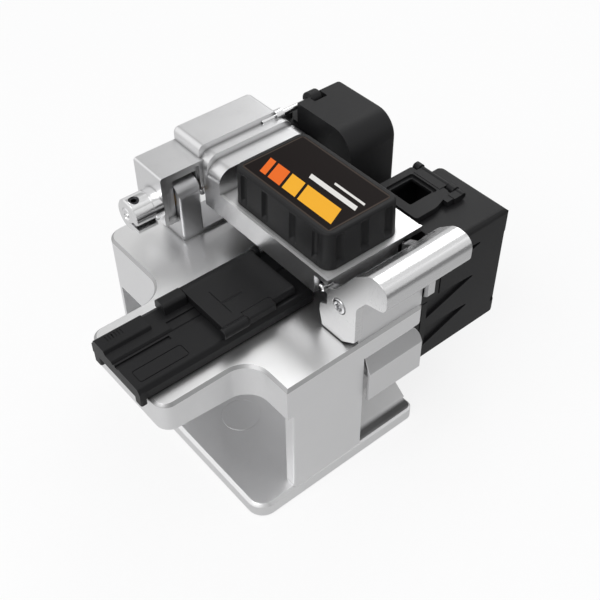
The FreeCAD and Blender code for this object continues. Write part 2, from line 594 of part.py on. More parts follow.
def carriage_body():
    """The carriage on the slide block, with the upright that holds the blade."""
    plate = round_block(28.2, 45.8, 4.4, 41.0, -19.0, -14.2, 1.0)
    upright = bar_x([(14.0, -14.3, 0), (30.0, -14.3, 0), (26.5, -1.2, 2.0), (17.5, -1.2, 2.0)],
                    35.2, 38.2)
    body = plate.fuse(upright).cut(rod_x(34, 40, BLADE_Y, BLADE_Z, AXLE_R))
    clear = rod_x(30, 35.3, BLADE_Y, BLADE_Z, BLADE_R + 0.6)
    return body.cut(clear).removeSplitter()


def push_plate():
    """The bent front plate that the thumb pushes, with its rounded upper corner."""
    profile = bar_x([(0.6, -7.3, 0), (-1.7, -12.4, 1.2), (-1.7, -22.8, 0.3), (-0.6, -22.8, 0.3),
                     (-0.6, -12.6, 0.8), (1.8, -7.3, 0)], PLATE_LEFT, PLATE_RIGHT)
    keep = bar_y([(PLATE_LEFT, -6, 0), (PLATE_RIGHT, -6, 5.4), (PLATE_RIGHT, -24, 0.4),
                  (PLATE_LEFT, -24, 0.4)], -4, 6)
    back = box(30.0, 44.0, -0.7, 4.4, -19.0, -14.4)
    return profile.common(keep).fuse(back)


def blade_wheel():
    """The round carbide blade with its bevelled rim."""
    half = BLADE_THICK / 2
    disc = rod_x(BLADE_X - half, BLADE_X + half, BLADE_Y, BLADE_Z, BLADE_R - 1.2)
    cone_left = Part.makeCone(BLADE_R - 0.02, BLADE_R - 1.2, half, Vector(BLADE_X, BLADE_Y, BLADE_Z),
                              Vector(-1, 0, 0))
    cone_right = Part.makeCone(BLADE_R - 0.02, BLADE_R - 1.2, half,
                               Vector(BLADE_X, BLADE_Y, BLADE_Z), Vector(1, 0, 0))
    wheel = disc.multiFuse([cone_left, cone_right])
    wheel = wheel.cut(rod_x(30, 40, BLADE_Y, BLADE_Z, AXLE_R + RUNNING_FIT))
    marks = []
    for step in range(16):
        dot = rod_x(BLADE_X - half - 0.1, BLADE_X - half + 0.15, BLADE_Y, BLADE_Z + 6.4, 0.35)
        dot.rotate(Vector(0, BLADE_Y, BLADE_Z), Vector(1, 0, 0), 22.5 * step)
        marks.append(dot)
    return wheel.cut(marks[0].multiFuse(marks[1:])).removeSplitter()


def blade_screw():
    """The shouldered screw on which the blade turns."""
    head = aim(socket_head(2.9, 1.3, 1.6), Vector(BLADE_X - BLADE_THICK / 2 - 0.1, BLADE_Y, BLADE_Z),
               Vector(-1, 0, 0))
    stem = rod_x(BLADE_X - BLADE_THICK / 2 - 0.1, 38.2, BLADE_Y, BLADE_Z, AXLE_R)
    return head.fuse(stem)


def holder_rail():
    """The rail on the platform that guides the fibre holder."""
    rail = box(-27.0, 19.0, 25.0, 39.0, 0, RAIL_TOP)
    rail = soften(rail, 0.4, lambda b: b.ZMin > RAIL_TOP - 0.01)
    for x in (-20.0, 12.0):
        rail = rail.cut(rod_z(0.8, 3, x, 32.0, 2.1))
        rail = rail.cut(rod_z(-1, 3, x, 32.0, 1.0))
    return rail


def rail_screws():
    """Two screws that hold the holder rail."""
    screws = []
    for x in (-20.0, 12.0):
        head = socket_head(2.0, 1.2, 1.5).translate(Vector(x, 32.0, 0.8))
        screws.append(head.fuse(rod_z(0, 0.8, x, 32.0, 1.0)))
    return Part.makeCompound(screws)


def holder_base():
    """The grooved fibre holder with its skirts, raised rear ledge and end hooks."""
    y0, y1 = HOLDER_NEAR, HOLDER_FAR
    body = bar_x([(y0, GAP, 0), (y1, GAP, 0), (y1, HOLDER_TOP - 0.6, 0.8), (y1 - 1.4, HOLDER_TOP, 0.4),
                  (y0 + 0.9, HOLDER_TOP, 0.8), (y0, HOLDER_TOP - 1.4, 0.6)], HOLDER_LEFT, HOLDER_RIGHT)
    ledge = bar_x([(36.4, 4.0, 0), (42.4, 4.0, 0), (42.0, 5.3, 0.6), (37.0, 5.3, 0.6)],
                  HOLDER_LEFT, -16.0)
    hooks = []
    for a, b, low in ((y0, y0 + 3.0, -1.6), (y1 - 3.2, y1, -2.8)):
        hooks.append(round_block(HOLDER_LEFT, PLATFORM_TIP - 0.4, a, b, low, 3.0, 0.6))
    far_block = bar_x([(38.2, 4.0, 0), (43.2, 4.0, 0), (43.2, 7.2, 1.6), (38.6, 7.2, 1.2)],
                      -10.6, LID_LEFT - 0.4)
    knuckle = bar_x([(40.0, 3.0, 0), (43.2, 3.0, 0), (43.2, 7.2, 1.1), (40.6, 7.2, 1.1)],
                    LID_RIGHT + 0.3, LID_RIGHT + 1.9)
    body = body.multiFuse([ledge, far_block, knuckle] + hooks)
    under = box(-28.4, HOLDER_RIGHT + 1, 25.0 - GAP, 39.0 + GAP, 0, RAIL_TOP + GAP)
    groove = bar_x([(FIBRE_Y - 0.7, HOLDER_TOP + 0.1, 0), (FIBRE_Y + 0.7, HOLDER_TOP + 0.1, 0),
                    (FIBRE_Y, HOLDER_TOP - 0.7, 0)], HOLDER_LEFT - 1, HOLDER_RIGHT + 1)
    trough = box(HOLDER_LEFT - 1, -14.0, FIBRE_Y - 2.6, FIBRE_Y - 1.2, HOLDER_TOP - 0.5, 5)
    step = box(-12.0, LID_LEFT + 2, FIBRE_Y - 2.4, FIBRE_Y + 3.2, HOLDER_TOP - 0.4, 5)
    pad_room = box(LID_LEFT + 1.9, 19.0, FIBRE_Y - 1.4, FIBRE_Y + 1.4, HOLDER_TOP - 0.3, 5)
    cuts = [under, groove, trough, step, pad_room]
    for index in range(6):
        x = -27.6 + index * 0.9
        cuts.append(box(x, x + 0.3, 39.2, 41.0, 5.1, 5.5))
    field = round_block(-28.4, -13.4, 22.9, 27.4, HOLDER_TOP - 0.2, 5, 0.8)
    field = field.cut(round_block(-28.15, -13.65, 23.15, 27.15, HOLDER_TOP - 0.3, 5, 0.6))
    cuts.append(field)
    body = body.cut(cuts[0].multiFuse(cuts[1:]))
    return body.cut(rod_x(LID_LEFT - 4, LID_RIGHT + 1.9, LID_AXIS_Y, LID_AXIS_Z, 0.6))


def holder_lid():
    """The flip lid over the fibre groove."""
    plate = bar_x([(22.4, 4.5, 0.3), (39.6, 4.5, 0), (39.6, LID_TOP, 0), (23.2, LID_TOP, 0.8),
                   (22.4, 5.4, 0.4)], LID_LEFT, LID_RIGHT)
    barrel = bar_x([(39.5, 4.5, 0), (LID_AXIS_Y, 4.5, 0.0), (43.0, 5.0, 0.5), (43.0, 6.6, 0.9),
                    (41.0, LID_TOP + 0.2, 0.5), (39.5, LID_TOP, 0)], LID_LEFT, LID_RIGHT)
    tab_room = box(CLIP_LEFT, CLIP_LEFT + 9.2, 21, 24.4, 4, 8)
    seam = box(2.0, 2.3, 26, 36, LID_TOP - 0.25, 7)
    arrow = bar_x([(30.0, LID_TOP + 0.1, 0), (31.2, LID_TOP + 0.1, 0), (30.6, LID_TOP - 0.25, 0)],
                  2.3, 9.0)
    lid = plate.fuse(barrel).cut(tab_room.multiFuse([seam, arrow]))
    return lid.cut(rod_x(LID_LEFT - 1, LID_RIGHT + 1, LID_AXIS_Y, LID_AXIS_Z, 0.6 + RUNNING_FIT))


def lid_pin():
    """The steel pin on which the lid turns."""
    return rod_x(LID_LEFT - 3.6, LID_RIGHT + 1.9, LID_AXIS_Y, LID_AXIS_Z, 0.6)


def lid_grip():
    """The rounded finger roll on the lid's near left corner."""
    roll = rod_x(LID_LEFT - 1.2, CLIP_LEFT - 0.1, 21.6, 5.9, 1.5)
    roll = roll.makeFillet(0.4, [e for e in roll.Edges if e.BoundBox.XMax - e.BoundBox.XMin < 0.01])
    root = box(LID_LEFT, CLIP_LEFT - 0.3, 21.6, 23.4, 4.7, 6.4)
    return roll.fuse(root).cut(box(-5, 5, 22.4, 24, 4.4, LID_TOP)).cut(box(-5, 5, 19, 23, 0, 4.6))


def lid_clip():
    """The square clip that locks the lid."""
    clip = round_block(CLIP_LEFT, CLIP_LEFT + 9.2, 20.9, 24.4, 4.6, 6.9, 0.5)
    return soften(clip, 0.4, lambda b: b.ZMin > 6.89)


def lid_pad():
    """The rubber pad under the lid that presses the fibre."""
    return box(0.0, 18.0, FIBRE_Y - 1.0, FIBRE_Y + 1.0, HOLDER_TOP, 4.5)


def housing_swing_room():
    """Room in the housing for the drive arm and drive pin as the lever opens."""
    arm = rod_x(61.5, 66.4, HINGE_Y, HINGE_Z, 15.6).common(box(61, 67, 50, 90, HINGE_Z - 4.4, 40))
    pin = box(50, 61.6, DRIVE_Y - DRIVE_R - GAP, 90, HINGE_Z + 7.6, 40)
    return arm.fuse(pin)


def collector_housing():
    """The scrap collector's black housing with its domed top, hub and side plate."""
    dome = bar_x([(HOUSE_NEAR, BIN_LOW, 0), (HOUSE_NEAR, HOUSE_TOP, 7.5), (HOUSE_REAR, HOUSE_TOP, 1.5),
                  (HOUSE_REAR, 12, 2), (78, 8, 3), (78, BIN_LOW, 3)], HOUSE_LEFT, HOUSE_RIGHT)
    dome = dome.makeFillet(1.4, [e for e in dome.Edges
                                 if e.BoundBox.XMin > HOUSE_RIGHT - 0.01
                                 and e.BoundBox.ZMax > 14 and e.BoundBox.YMax < HOUSE_REAR + 1])
    side = bar_x([(BIN_NEAR, BIN_LOW, 0), (BIN_NEAR, -0.3, 0.8), (16.6, -0.3, 1), (16.6, 8.0, 3),
                  (54, 8.0, 3), (54, 0.6, 3), (78, 0.6, 0), (78, BIN_LOW, 3)],
                 SIDE_LEFT, SIDE_LEFT + 2.0)
    bridge = box(SIDE_LEFT, HOUSE_LEFT + 0.1, HOUSE_NEAR, 54.0, BIN_LOW, 10.4)
    bridge = bridge.fuse(box(51.0, HOUSE_LEFT + 0.1, 53.9, 60.0, BIN_LOW, 8.0))
    bridge = bridge.fuse(box(SIDE_LEFT, HOUSE_LEFT + 0.1, 53.9, 60.0, BIN_LOW, 0.6))
    hub = rod_x(51.0, 61.4, HINGE_Y, HINGE_Z, 7.5).fuse(rod_x(66.5, HOUSE_RIGHT, HINGE_Y, HINGE_Z, 7.5))
    hub_foot = box(51.0, HOUSE_RIGHT, HINGE_Y - 7.5, 78, 0, HINGE_Z - 3)
    under_hub = box(51.0, HOUSE_LEFT + 0.1, 59.9, 78, BIN_LOW, 4.2)
    behind = box(SIDE_LEFT, 51.1, 59.9, 78, BIN_LOW, 0.6)
    cheek = box(51.0, HOUSE_LEFT, BIN_NEAR, BIN_NEAR + 1.6, -4.6, 12.4)
    cheek = cheek.fuse(box(SIDE_LEFT + 1.9, 51.1, BIN_NEAR, BIN_NEAR + 1.6, -4.6, -0.4))
    knob = rod_z(HINGE_Z + 7, HINGE_Z + 9.2, 57.0, HINGE_Y, 1.1)
    house = dome.multiFuse([side, bridge, under_hub, behind, cheek, hub, hub_foot])
    house = house.cut(housing_swing_room()).fuse(knob)
    house = house.cut(rod_x(50.5, 76, HINGE_Y, HINGE_Z, 1.5))
    fibre_way = box(SIDE_LEFT - 1, SIDE_LEFT + 3, FIBRE_Y - 9, FIBRE_Y + 8, 0.4, 9)
    for z in ROLLER_HEIGHTS:
        fibre_way = fibre_way.fuse(rod_y(HOUSE_NEAR - 1, ROLLER_END + 0.6, ROLLER_X, z, 1.0 + RUNNING_FIT))
    return house.cut(fibre_way).removeSplitter()


def collector_axle():
    """The fixed axle of the drive arm in the housing's hub."""
    return rod_x(52.0, 74.0, HINGE_Y, HINGE_Z, 1.5)


def housing_screws():
    """Small black screws in the housing's right side."""
    screws = []
    for y, z in ((HOUSE_NEAR + 4, -22.0), (HOUSE_REAR - 5.1, -22.0), (HOUSE_NEAR + 4, 8.0)):
        screws.append(aim(socket_head(1.6, 0.9, 1.3), Vector(HOUSE_RIGHT, y, z), Vector(1, 0, 0)))
    return Part.makeCompound(screws)


def roller(z):
    """A ribbed rubber scrap roller on its shaft."""
    y0, y1 = FIBRE_Y - 7, FIBRE_Y + 7
    body = rod_y(y0, y1, ROLLER_X, z, ROLLER_R)
    ribs = []
    for step in range(8):
        cut = rod_y(y0 - 1, y1 + 1, ROLLER_X, z + ROLLER_R + 0.15, 0.35)
        cut.rotate(Vector(ROLLER_X, 0, z), Vector(0, 1, 0), 45 * step + 22.5)
        ribs.append(cut)
    body = body.cut(ribs[0].multiFuse(ribs[1:]))
    return body.fuse(rod_y(y0 - 2.4, ROLLER_END, ROLLER_X, z, 1.0))


def lower_roller():
    """The driven roller under the fibre."""
    return roller(ROLLER_HEIGHTS[0])


def upper_roller():
    """The pressing roller over the fibre."""
    return roller(ROLLER_HEIGHTS[1])


def roller_bearer():
    """The front bearing post of the two rollers."""
    y0, y1 = FIBRE_Y - 9.4, FIBRE_Y - 7.4
    post = box(50.6, 56.0, y0, y1, -4.4, 10.4)
    for z in ROLLER_HEIGHTS:
        post = post.cut(rod_y(y0 - 1, y1 + 1, ROLLER_X, z, 1.0 + RUNNING_FIT))
    return post


def wedge(tip, z):
    """One tapered grip recess on the bin's front face."""
    top = z + 1.5
    face = outline([(tip, z, 0.3), (53.0, top, 0), (53.0, top - 7.5, 0)], lambda p: Vector(p.x, 0, p.y))
    return Part.Face(face).extrude(Vector(0, BIN_NEAR + 0.9, 0))


def scrap_bin():
    """The bin that catches the cut ends, with its deck, window and grip recesses."""
    front = bar_y([(50.9, BIN_LOW, 0), (BIN_RIGHT, BIN_LOW, 3.2), (BIN_RIGHT, BIN_TOP, 3.0),
                   (DECK_LEFT, BIN_TOP, 0), (DECK_LEFT, -5.0, 0), (50.9, -5.0, 0)],
                  BIN_NEAR, HOUSE_NEAR - 0.5)
    side = bar_x([(BIN_NEAR, BIN_LOW, 0.8), (HOUSE_NEAR - 0.5, BIN_LOW, 0), (HOUSE_NEAR - 0.5, -5.0, 0),
                  (34.0, -5.0, 0), (34.0, BIN_TOP, 0.6), (BIN_NEAR, BIN_TOP, 1.8)], 50, BIN_RIGHT)
    plan = slab([(50.9, BIN_NEAR, 0), (BIN_RIGHT, BIN_NEAR, 1.6), (BIN_RIGHT, HOUSE_NEAR - 0.5, 1.6),
                 (50.9, HOUSE_NEAR - 0.5, 0)], BIN_LOW, BIN_TOP)
    body = front.common(side).common(plan)
    notch = slab([(DOOR_X + 2.0, BIN_DECK_REAR, 0.4), (BIN_RIGHT - 3.0, BIN_DECK_REAR, 0),
                  (BIN_RIGHT - 0.8, BIN_DECK_REAR - 0.9, 1.2), (BIN_RIGHT, BIN_DECK_REAR - 3.0, 0),
                  (BIN_RIGHT + 1, BIN_DECK_REAR - 3.0, 0), (BIN_RIGHT + 1, HOUSE_NEAR, 0),
                  (DOOR_X + 2.0, HOUSE_NEAR, 0)], -5.2, BIN_TOP + 1)
    w = BIN_WALL
    cavity_low = box(50.9 + w, BIN_RIGHT - w, BIN_NEAR + w, HOUSE_NEAR - 0.5 - w, BIN_LOW + w, -5.0 - w)
    cavity_high = box(DECK_LEFT + w, DOOR_X + 0.4, BIN_NEAR + w, 34.0 - w, BIN_LOW + w, BIN_TOP - w)
    entry = box(DECK_LEFT - 1.5, DECK_LEFT + 2.5, FIBRE_Y - 7.0, 34.0 - w, -3.4, 9.0)
    window = round_block(DECK_LEFT + 3.5, DOOR_X - 3.2, 20.5, 31.0, BIN_TOP - 3, BIN_TOP + 1, 0.8)
    rebate = box(BIN_RIGHT - 2.3, BIN_RIGHT + 1, 0, BIN_NEAR + 0.8, -23.0, 4.6)
    drop = box(50.9 + w, 56.0, FIBRE_Y - 9, HOUSE_NEAR - 2.4, -8, 0)
    door_slot = box(DOOR_X - 1.0, DOOR_X + 1.6, 20.8, 31.0, BIN_TOP - 1.2, BIN_TOP + 1)
    cuts = [notch, cavity_low, cavity_high, entry, window, rebate, drop, door_slot]
    cuts += [wedge(DOOR_X - 2.0, 6.4), wedge(DOOR_X - 3.4, -5.6), wedge(DOOR_X - 4.6, -16.6)]
    body = body.cut(cuts[0].multiFuse(cuts[1:]))
    lugs = []
    for y0, y1 in ((17.6, 20.2), (31.4, 33.6)):
        lug = bar_y([(DOOR_X - 1.5, BIN_TOP - 0.3, 0), (DOOR_X + 1.5, BIN_TOP - 0.3, 0),
                     (DOOR_X + 1.4, DOOR_Z + 1.3, 1.2), (DOOR_X - 1.4, DOOR_Z + 1.3, 1.2)], y0, y1)
        lugs.append(lug)
    body = body.multiFuse(lugs)
    return body.cut(rod_y(17, 35, DOOR_X, DOOR_Z, 0.6)).removeSplitter()


def bin_door():
    """The lid over the bin's window, with its curved front arm and hinge knuckles."""
    left, right = DECK_LEFT + 0.7, DOOR_X - 2.0
    plate = slab([(left, 15.4, 1.0), (left + 7.8, 15.4, 6.0), (right, 17.9, 2.0), (right, 33.4, 0.8),
                  (left, 33.4, 1.0)], BIN_TOP + 0.3, BIN_TOP + 2.0)
    window = round_block(left + 2.8, right - 2.2, 20.6, 31.0, BIN_TOP + 1.2, BIN_TOP + 3, 0.8)
    window = window.fuse(round_block(left + 3.8, right - 3.2, 21.6, 30.0, BIN_TOP, BIN_TOP + 2, 0.6))
    knuckles = [box(right - 4.0, right - 0.4, 15.0, 19.5, BIN_TOP + 0.3, BIN_TOP + 2.0)]
    for y0, y1 in ((14.6, 17.3), (20.5, 31.1)):
        web = box(right - 1.5, DOOR_X, y0, y1, BIN_TOP + 0.3, DOOR_Z + KNUCKLE_R - 0.2)
        knuckles.append(web.fuse(rod_y(y0, y1, DOOR_X, DOOR_Z, KNUCKLE_R)))
    door = plate.multiFuse(knuckles).cut(window)
    return door.cut(rod_y(14, 34, DOOR_X, DOOR_Z, 0.6 + RUNNING_FIT)).removeSplitter()


def door_pin():
    """The pin on which the bin's lid turns."""
    return rod_y(14.8, 33.5, DOOR_X, DOOR_Z, 0.6)


PIECES = {
    "base_frame": base_frame,
    "rubber_feet": rubber_feet,
    "underside_cover": underside_cover,
    "underside_screws": underside_screws,
    "latch_block": latch_block,
    "closing_magnet": closing_magnet,
    "latch_handle": handle,
    "handle_pivot_screws": pivot_screws,
    "hinge_pedestal": pedestal,
    "hinge_bushings": bushings,
    "hinge_shaft": hinge_shaft,
    "clamp_collar": clamp_collar,
    "collar_screw": collar_screw,
    "opening_spring": opening_spring,
    "lever_frame": lever_frame,
    "catch_pin": catch_pin,
    "drive_pin": drive_pin,
    "drive_arm": drive_arm,
    "cover_box": cover_box,
    "label_plate": label_plate,
    "cover_screws": cover_screws,
    "lower_clamp_blocks": clamp_seats_low,
    "lower_clamp_pads": clamp_pads_low,
    "upper_clamp_blocks": clamp_arms_high,
    "upper_clamp_pads": clamp_pads_high,
    "anvil": anvil,
    "carriage_guide_rail": guide_rail,
    "carriage_slide_block": slide_block,
    "blade_carriage": carriage_body,
    "push_plate": push_plate,
    "blade_wheel": blade_wheel,
    "blade_screw": blade_screw,
    "holder_rail": holder_rail,
    "holder_rail_screws": rail_screws,
    "holder_base": holder_base,
    "holder_lid": holder_lid,
    "holder_lid_pin": lid_pin,
    "holder_lid_grip": lid_grip,
    "holder_lid_clip": lid_clip,
    "holder_lid_pad": lid_pad,
    "collector_housing": collector_housing,
    "collector_axle": collector_axle,
    "housing_screws": housing_screws,
    "lower_scrap_roller": lower_roller,
    "upper_scrap_roller": upper_roller,
    "roller_bearer": roller_bearer,
    "scrap_bin": scrap_bin,
    "bin_door": bin_door,
    "bin_door_pin": door_pin,
}


def export():
    """Build every piece, move it to the origin and write its file."""
    os.makedirs("parts", exist_ok=True)
    for name, make in PIECES.items():
        shape = make()
        shape.translate(DATUM)
        shape.exportStep("parts/" + name + ".step")


export()
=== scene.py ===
"""Looks of the fibre cleaver: finishes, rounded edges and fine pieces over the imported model.

Sizes are millimetres in the drawing frame: X along the fibre, Y from the front face to the rear
hinge, Z up from the polished top of the base. to_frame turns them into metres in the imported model's
frame, whose origin lies on the bench under the middle of the tool. Only the floor and the lamps are
given in metres in that frame.
"""
import logging
import math
from dataclasses import dataclass
from enum import Enum
from typing import Any, Optional, Sequence, Union

import bmesh
import bpy
import numpy as np
from mathutils import Matrix, Vector


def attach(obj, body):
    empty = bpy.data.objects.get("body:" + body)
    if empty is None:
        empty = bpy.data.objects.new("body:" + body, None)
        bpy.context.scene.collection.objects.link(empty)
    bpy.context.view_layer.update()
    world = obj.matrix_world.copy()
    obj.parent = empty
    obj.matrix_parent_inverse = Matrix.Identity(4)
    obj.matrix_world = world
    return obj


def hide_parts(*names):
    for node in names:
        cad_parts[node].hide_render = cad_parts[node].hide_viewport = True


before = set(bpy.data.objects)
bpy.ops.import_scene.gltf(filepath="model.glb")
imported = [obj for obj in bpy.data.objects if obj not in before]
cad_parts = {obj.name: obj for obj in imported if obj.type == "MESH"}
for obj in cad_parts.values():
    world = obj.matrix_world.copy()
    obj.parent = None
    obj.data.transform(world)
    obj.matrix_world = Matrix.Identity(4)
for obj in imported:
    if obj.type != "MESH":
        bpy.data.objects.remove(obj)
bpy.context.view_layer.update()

LOG = logging.getLogger("cleaver")
FULL_TURN = 2.0 * math.pi
MM = 0.001
# Where the drawing frame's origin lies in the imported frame, mm
SHIFT = np.array((-26.9, -35.4, 48.1))
# The lever's hinge axis, mm
HINGE_YZ = (69.1, 13.9)
# Points of a mesh that are nearer to each other than this become one, metres
SAME_POINT = 2e-6
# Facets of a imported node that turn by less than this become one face
FLAT_DEG = 0.6
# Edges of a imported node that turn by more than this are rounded
EDGE_DEG = 30.0

Number = Union[int, float]
Span = tuple[float, float]
Point = tuple[float, float, float]
Colour = tuple[float, float, float]
Value = Union["Term", bpy.types.NodeSocket, Number, Colour]


class Axis(Enum):
    """A direction of the drawing frame."""

    X = (1.0, 0.0, 0.0)
    Y = (0.0, 1.0, 0.0)
    Z = (0.0, 0.0, 1.0)


class Lay(Enum):
    """The way a surface is streaked, as how fine its pattern is along x, y and z."""

    ALONG_X = (1.0, 14.0, 14.0)
    ALONG_Y = (14.0, 1.0, 14.0)
    NONE = (1.0, 1.0, 1.0)


class Body(Enum):
    """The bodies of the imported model."""

    BASE = "base"
    LEVER = "lever"
    HANDLE = "handle"
    CARRIAGE = "carriage"
    BLADE = "blade"
    HOLDER = "holder"
    HOLDER_LID = "holder_lid_body"
    LOWER_ROLLER = "lower_roller"
    UPPER_ROLLER = "upper_roller"
    BIN = "bin"
    BIN_LID = "bin_lid"


class Slot(Enum):
    """The record's material slots, passed along with the new pieces but not set on them."""

    BLASTED = "blasted_aluminium"
    POLISHED = "polished_aluminium"
    CARRIAGE = "carriage_aluminium"
    STEEL = "steel"
    ANVIL = "anvil_steel"
    CARBIDE = "carbide"
    CHROME = "chrome"
    PLASTIC = "black_plastic"
    RUBBER = "rubber"


def to_frame(points: np.ndarray) -> np.ndarray:
    """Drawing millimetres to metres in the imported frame.

    Args:
        points: an array whose last axis is x, y, z.

    Returns:
        The same array, shifted to the frame's origin and in metres.
    """
    return (np.asarray(points, dtype=float) + SHIFT) * MM


def shade(colour: Colour, tone: float) -> Colour:
    """A colour with its three parts times tone."""
    return tuple(part * tone for part in colour)


# Shader building


class Term:
    """A shader value; Python operators on it add Math nodes to its tree."""

    def __init__(self, tree: "Graph", socket: bpy.types.NodeSocket) -> None:
        """Wrap a socket of a tree."""
        self.tree = tree
        self.socket = socket

    def _math(self, operation: str, first: Value, second: Value) -> "Term":
        """One Math node on two values, either of which may be a number."""
        node = self.tree.node("ShaderNodeMath", {"operation": operation}, {0: first, 1: second})
        return Term(self.tree, node.outputs[0])

    def __add__(self, other: Value) -> "Term":
        """Sum."""
        return self._math("ADD", self, other)

    def __radd__(self, other: Value) -> "Term":
        """Sum with a number on the left."""
        return self._math("ADD", other, self)

    def __sub__(self, other: Value) -> "Term":
        """Difference."""
        return self._math("SUBTRACT", self, other)

    def __rsub__(self, other: Value) -> "Term":
        """Difference with a number on the left."""
        return self._math("SUBTRACT", other, self)

    def __mul__(self, other: Value) -> "Term":
        """Product."""
        return self._math("MULTIPLY", self, other)

    def __rmul__(self, other: Value) -> "Term":
        """Product with a number on the left."""
        return self._math("MULTIPLY", other, self)

    def __abs__(self) -> "Term":
        """Distance from zero."""
        return self._math("ABSOLUTE", self, 0.0)

    def highest(self, other: Value) -> "Term":
        """The larger of two values."""
        return self._math("MAXIMUM", self, other)

    def ramp(self, low: float, high: float) -> "Term":
        """A smooth 0 to 1 step of this value from low to high."""
        node = self.tree.node("ShaderNodeMapRange", {"interpolation_type": "SMOOTHSTEP"},
                              {"Value": self, "From Min": low, "From Max": high})
        return Term(self.tree, node.outputs[0])

    def band(self, rise: Span, fall: Span) -> "Term":
        """1 between two smooth steps: up over rise, down over fall."""
        return self.ramp(*rise) * (1.0 - self.ramp(*fall))

    def swing(self, amount: float) -> "Term":
        """A 0 to 1 value made to swing about 0, by amount from end to end."""
        return (self - 0.5) * amount


class Graph:
    """The node tree of a material or a world, emptied."""

    def __init__(self, owner: Union[bpy.types.Material, bpy.types.World]) -> None:
        """Turn nodes on and clear them.

        Args:
            owner: the material or world.
        """
        owner.use_nodes = True
        self.links = owner.node_tree.links
        self.nodes = owner.node_tree.nodes
        self.nodes.clear()

    def feed(self, target: bpy.types.NodeSocket, value: Value) -> None:
        """Link a term or a socket to an input, or set the input to a number or a colour.

        Args:
            target: the input.
            value: what it gets; a colour gets its alpha here.
        """
        source = value.socket if isinstance(value, Term) else value
        if isinstance(source, bpy.types.NodeSocket):
            self.links.new(source, target)
        elif target.type == "RGBA":
            target.default_value = (*source, 1.0)
        else:
            target.default_value = source

    def node(self, kind: str, settings: Optional[dict[str, Any]] = None,
             inputs: Optional[dict[Union[str, int], Value]] = None) -> bpy.types.Node:
        """Add a node.

        Args:
            kind: the node's type name.
            settings: attributes that are set first.
            inputs: values, terms or sockets by input name or number.

        Returns:
            The new node.
        """
        made = self.nodes.new(kind)
        for key, value in (settings or {}).items():
            setattr(made, key, value)
        for key, value in (inputs or {}).items():
            self.feed(made.inputs[key], value)
        return made

    def mix_shaders(self, factor: Value, first: bpy.types.Node, second: bpy.types.Node) -> bpy.types.Node:
        """A Mix Shader node from the first shader at factor 0 to the second at 1."""
        ends = {0: factor, 1: first.outputs[0], 2: second.outputs[0]}
        return self.node("ShaderNodeMixShader", {}, ends)


class Tree(Graph):
    """A material's node tree with one Principled shader."""

    octave_weight = 0.55
    corner_reach_mm = 1.8
    corner_steps = (0.15, 0.95)
    corner_samples = 8

    def __init__(self, name: str) -> None:
        """Start an empty material.

        Args:
            name: the material's name.
        """
        self.material = bpy.data.materials.new(name)
        super().__init__(self.material)
        self.shader = self.node("ShaderNodeBsdfPrincipled")
        self.output = self.node("ShaderNodeOutputMaterial", {}, {"Surface": self.shader.outputs[0]})

    def place(self, fineness: Sequence[float] = (1.0, 1.0, 1.0)) -> bpy.types.NodeSocket:
        """Object coordinates in millimetres.

        Args:
            fineness: what x, y and z are multiplied by.

        Returns:
            The coordinates' socket.
        """
        where = self.node("ShaderNodeTexCoord").outputs["Object"]
        scale = tuple(part / MM for part in fineness)
        return self.node("ShaderNodeMapping", {}, {"Vector": where, "Scale": scale}).outputs[0]

    def along(self, axis: int) -> Term:
        """One coordinate of the surface in drawing millimetres.

        Args:
            axis: 0, 1 or 2 for x, y or z.

        Returns:
            The coordinate as a term.
        """
        where = self.node("ShaderNodeTexCoord").outputs["Object"]
        part = Term(self, self.node("ShaderNodeSeparateXYZ", {}, {0: where}).outputs[axis])
        return part * (1.0 / MM) - float(SHIFT[axis])

    def tilt(self) -> Term:
        """How far the surface faces up: 1 on a top, 0 on an upright wall, -1 on an underside."""
        facing = self.node("ShaderNodeTexCoord").outputs["Normal"]
        return Term(self, self.node("ShaderNodeSeparateXYZ", {}, {0: facing}).outputs[2])

    def noise(self, size_mm: float, octaves: float = 3.0, lay: Lay = Lay.NONE) -> Term:
        """Noise from 0 to 1.

        Args:
            size_mm: the size of its features across the lay.
            octaves: how many finer layers it has.
            lay: the direction along which it is drawn out.

        Returns:
            The noise as a term.
        """
        fineness = tuple(part / max(lay.value) for part in lay.value)
        made = self.node("ShaderNodeTexNoise", {}, {
            "Vector": self.place(fineness), "Scale": 1.0 / size_mm, "Detail": octaves,
            "Roughness": self.octave_weight})
        return Term(self, made.outputs[0])

    def pits(self, size_mm: float) -> Term:
        """Distance to the nearest of scattered points about size_mm apart."""
        made = self.node("ShaderNodeTexVoronoi", {}, {"Vector": self.place(), "Scale": 1.0 / size_mm})
        return Term(self, made.outputs[0])

    def openness(self) -> Term:
        """0 in tight corners and slits, 1 where nothing stands within the reach."""
        made = self.node("ShaderNodeAmbientOcclusion", {"samples": self.corner_samples},
                         {"Distance": self.corner_reach_mm * MM})
        return Term(self, made.outputs["AO"]).ramp(*self.corner_steps)

    def blend(self, factor: Value, first: Value, second: Value) -> bpy.types.NodeSocket:
        """Mix two colours.

        Args:
            factor: 0 for the first, 1 for the second.
            first: a colour or a colour socket.
            second: a colour or a colour socket.

        Returns:
            The mixed colour. The Mix node's colours are its inputs 6 and 7 and its output 2.
        """
        ends = {"Factor": factor, 6: first, 7: second}
        return self.node("ShaderNodeMix", {"data_type": "RGBA"}, ends).outputs[2]

    def bump(self, height: Value, depth_mm: float) -> None:
        """Make the surface look raised by height times depth_mm, through the shader's Normal."""
        made = self.node("ShaderNodeBump", {}, {"Height": height, "Distance": depth_mm * MM})
        self.put("Normal", made.outputs[0])

    def put(self, name: str, value: Value) -> None:
        """Set or link one input of the Principled shader."""
        self.feed(self.shader.inputs[name], value)


# Finishes


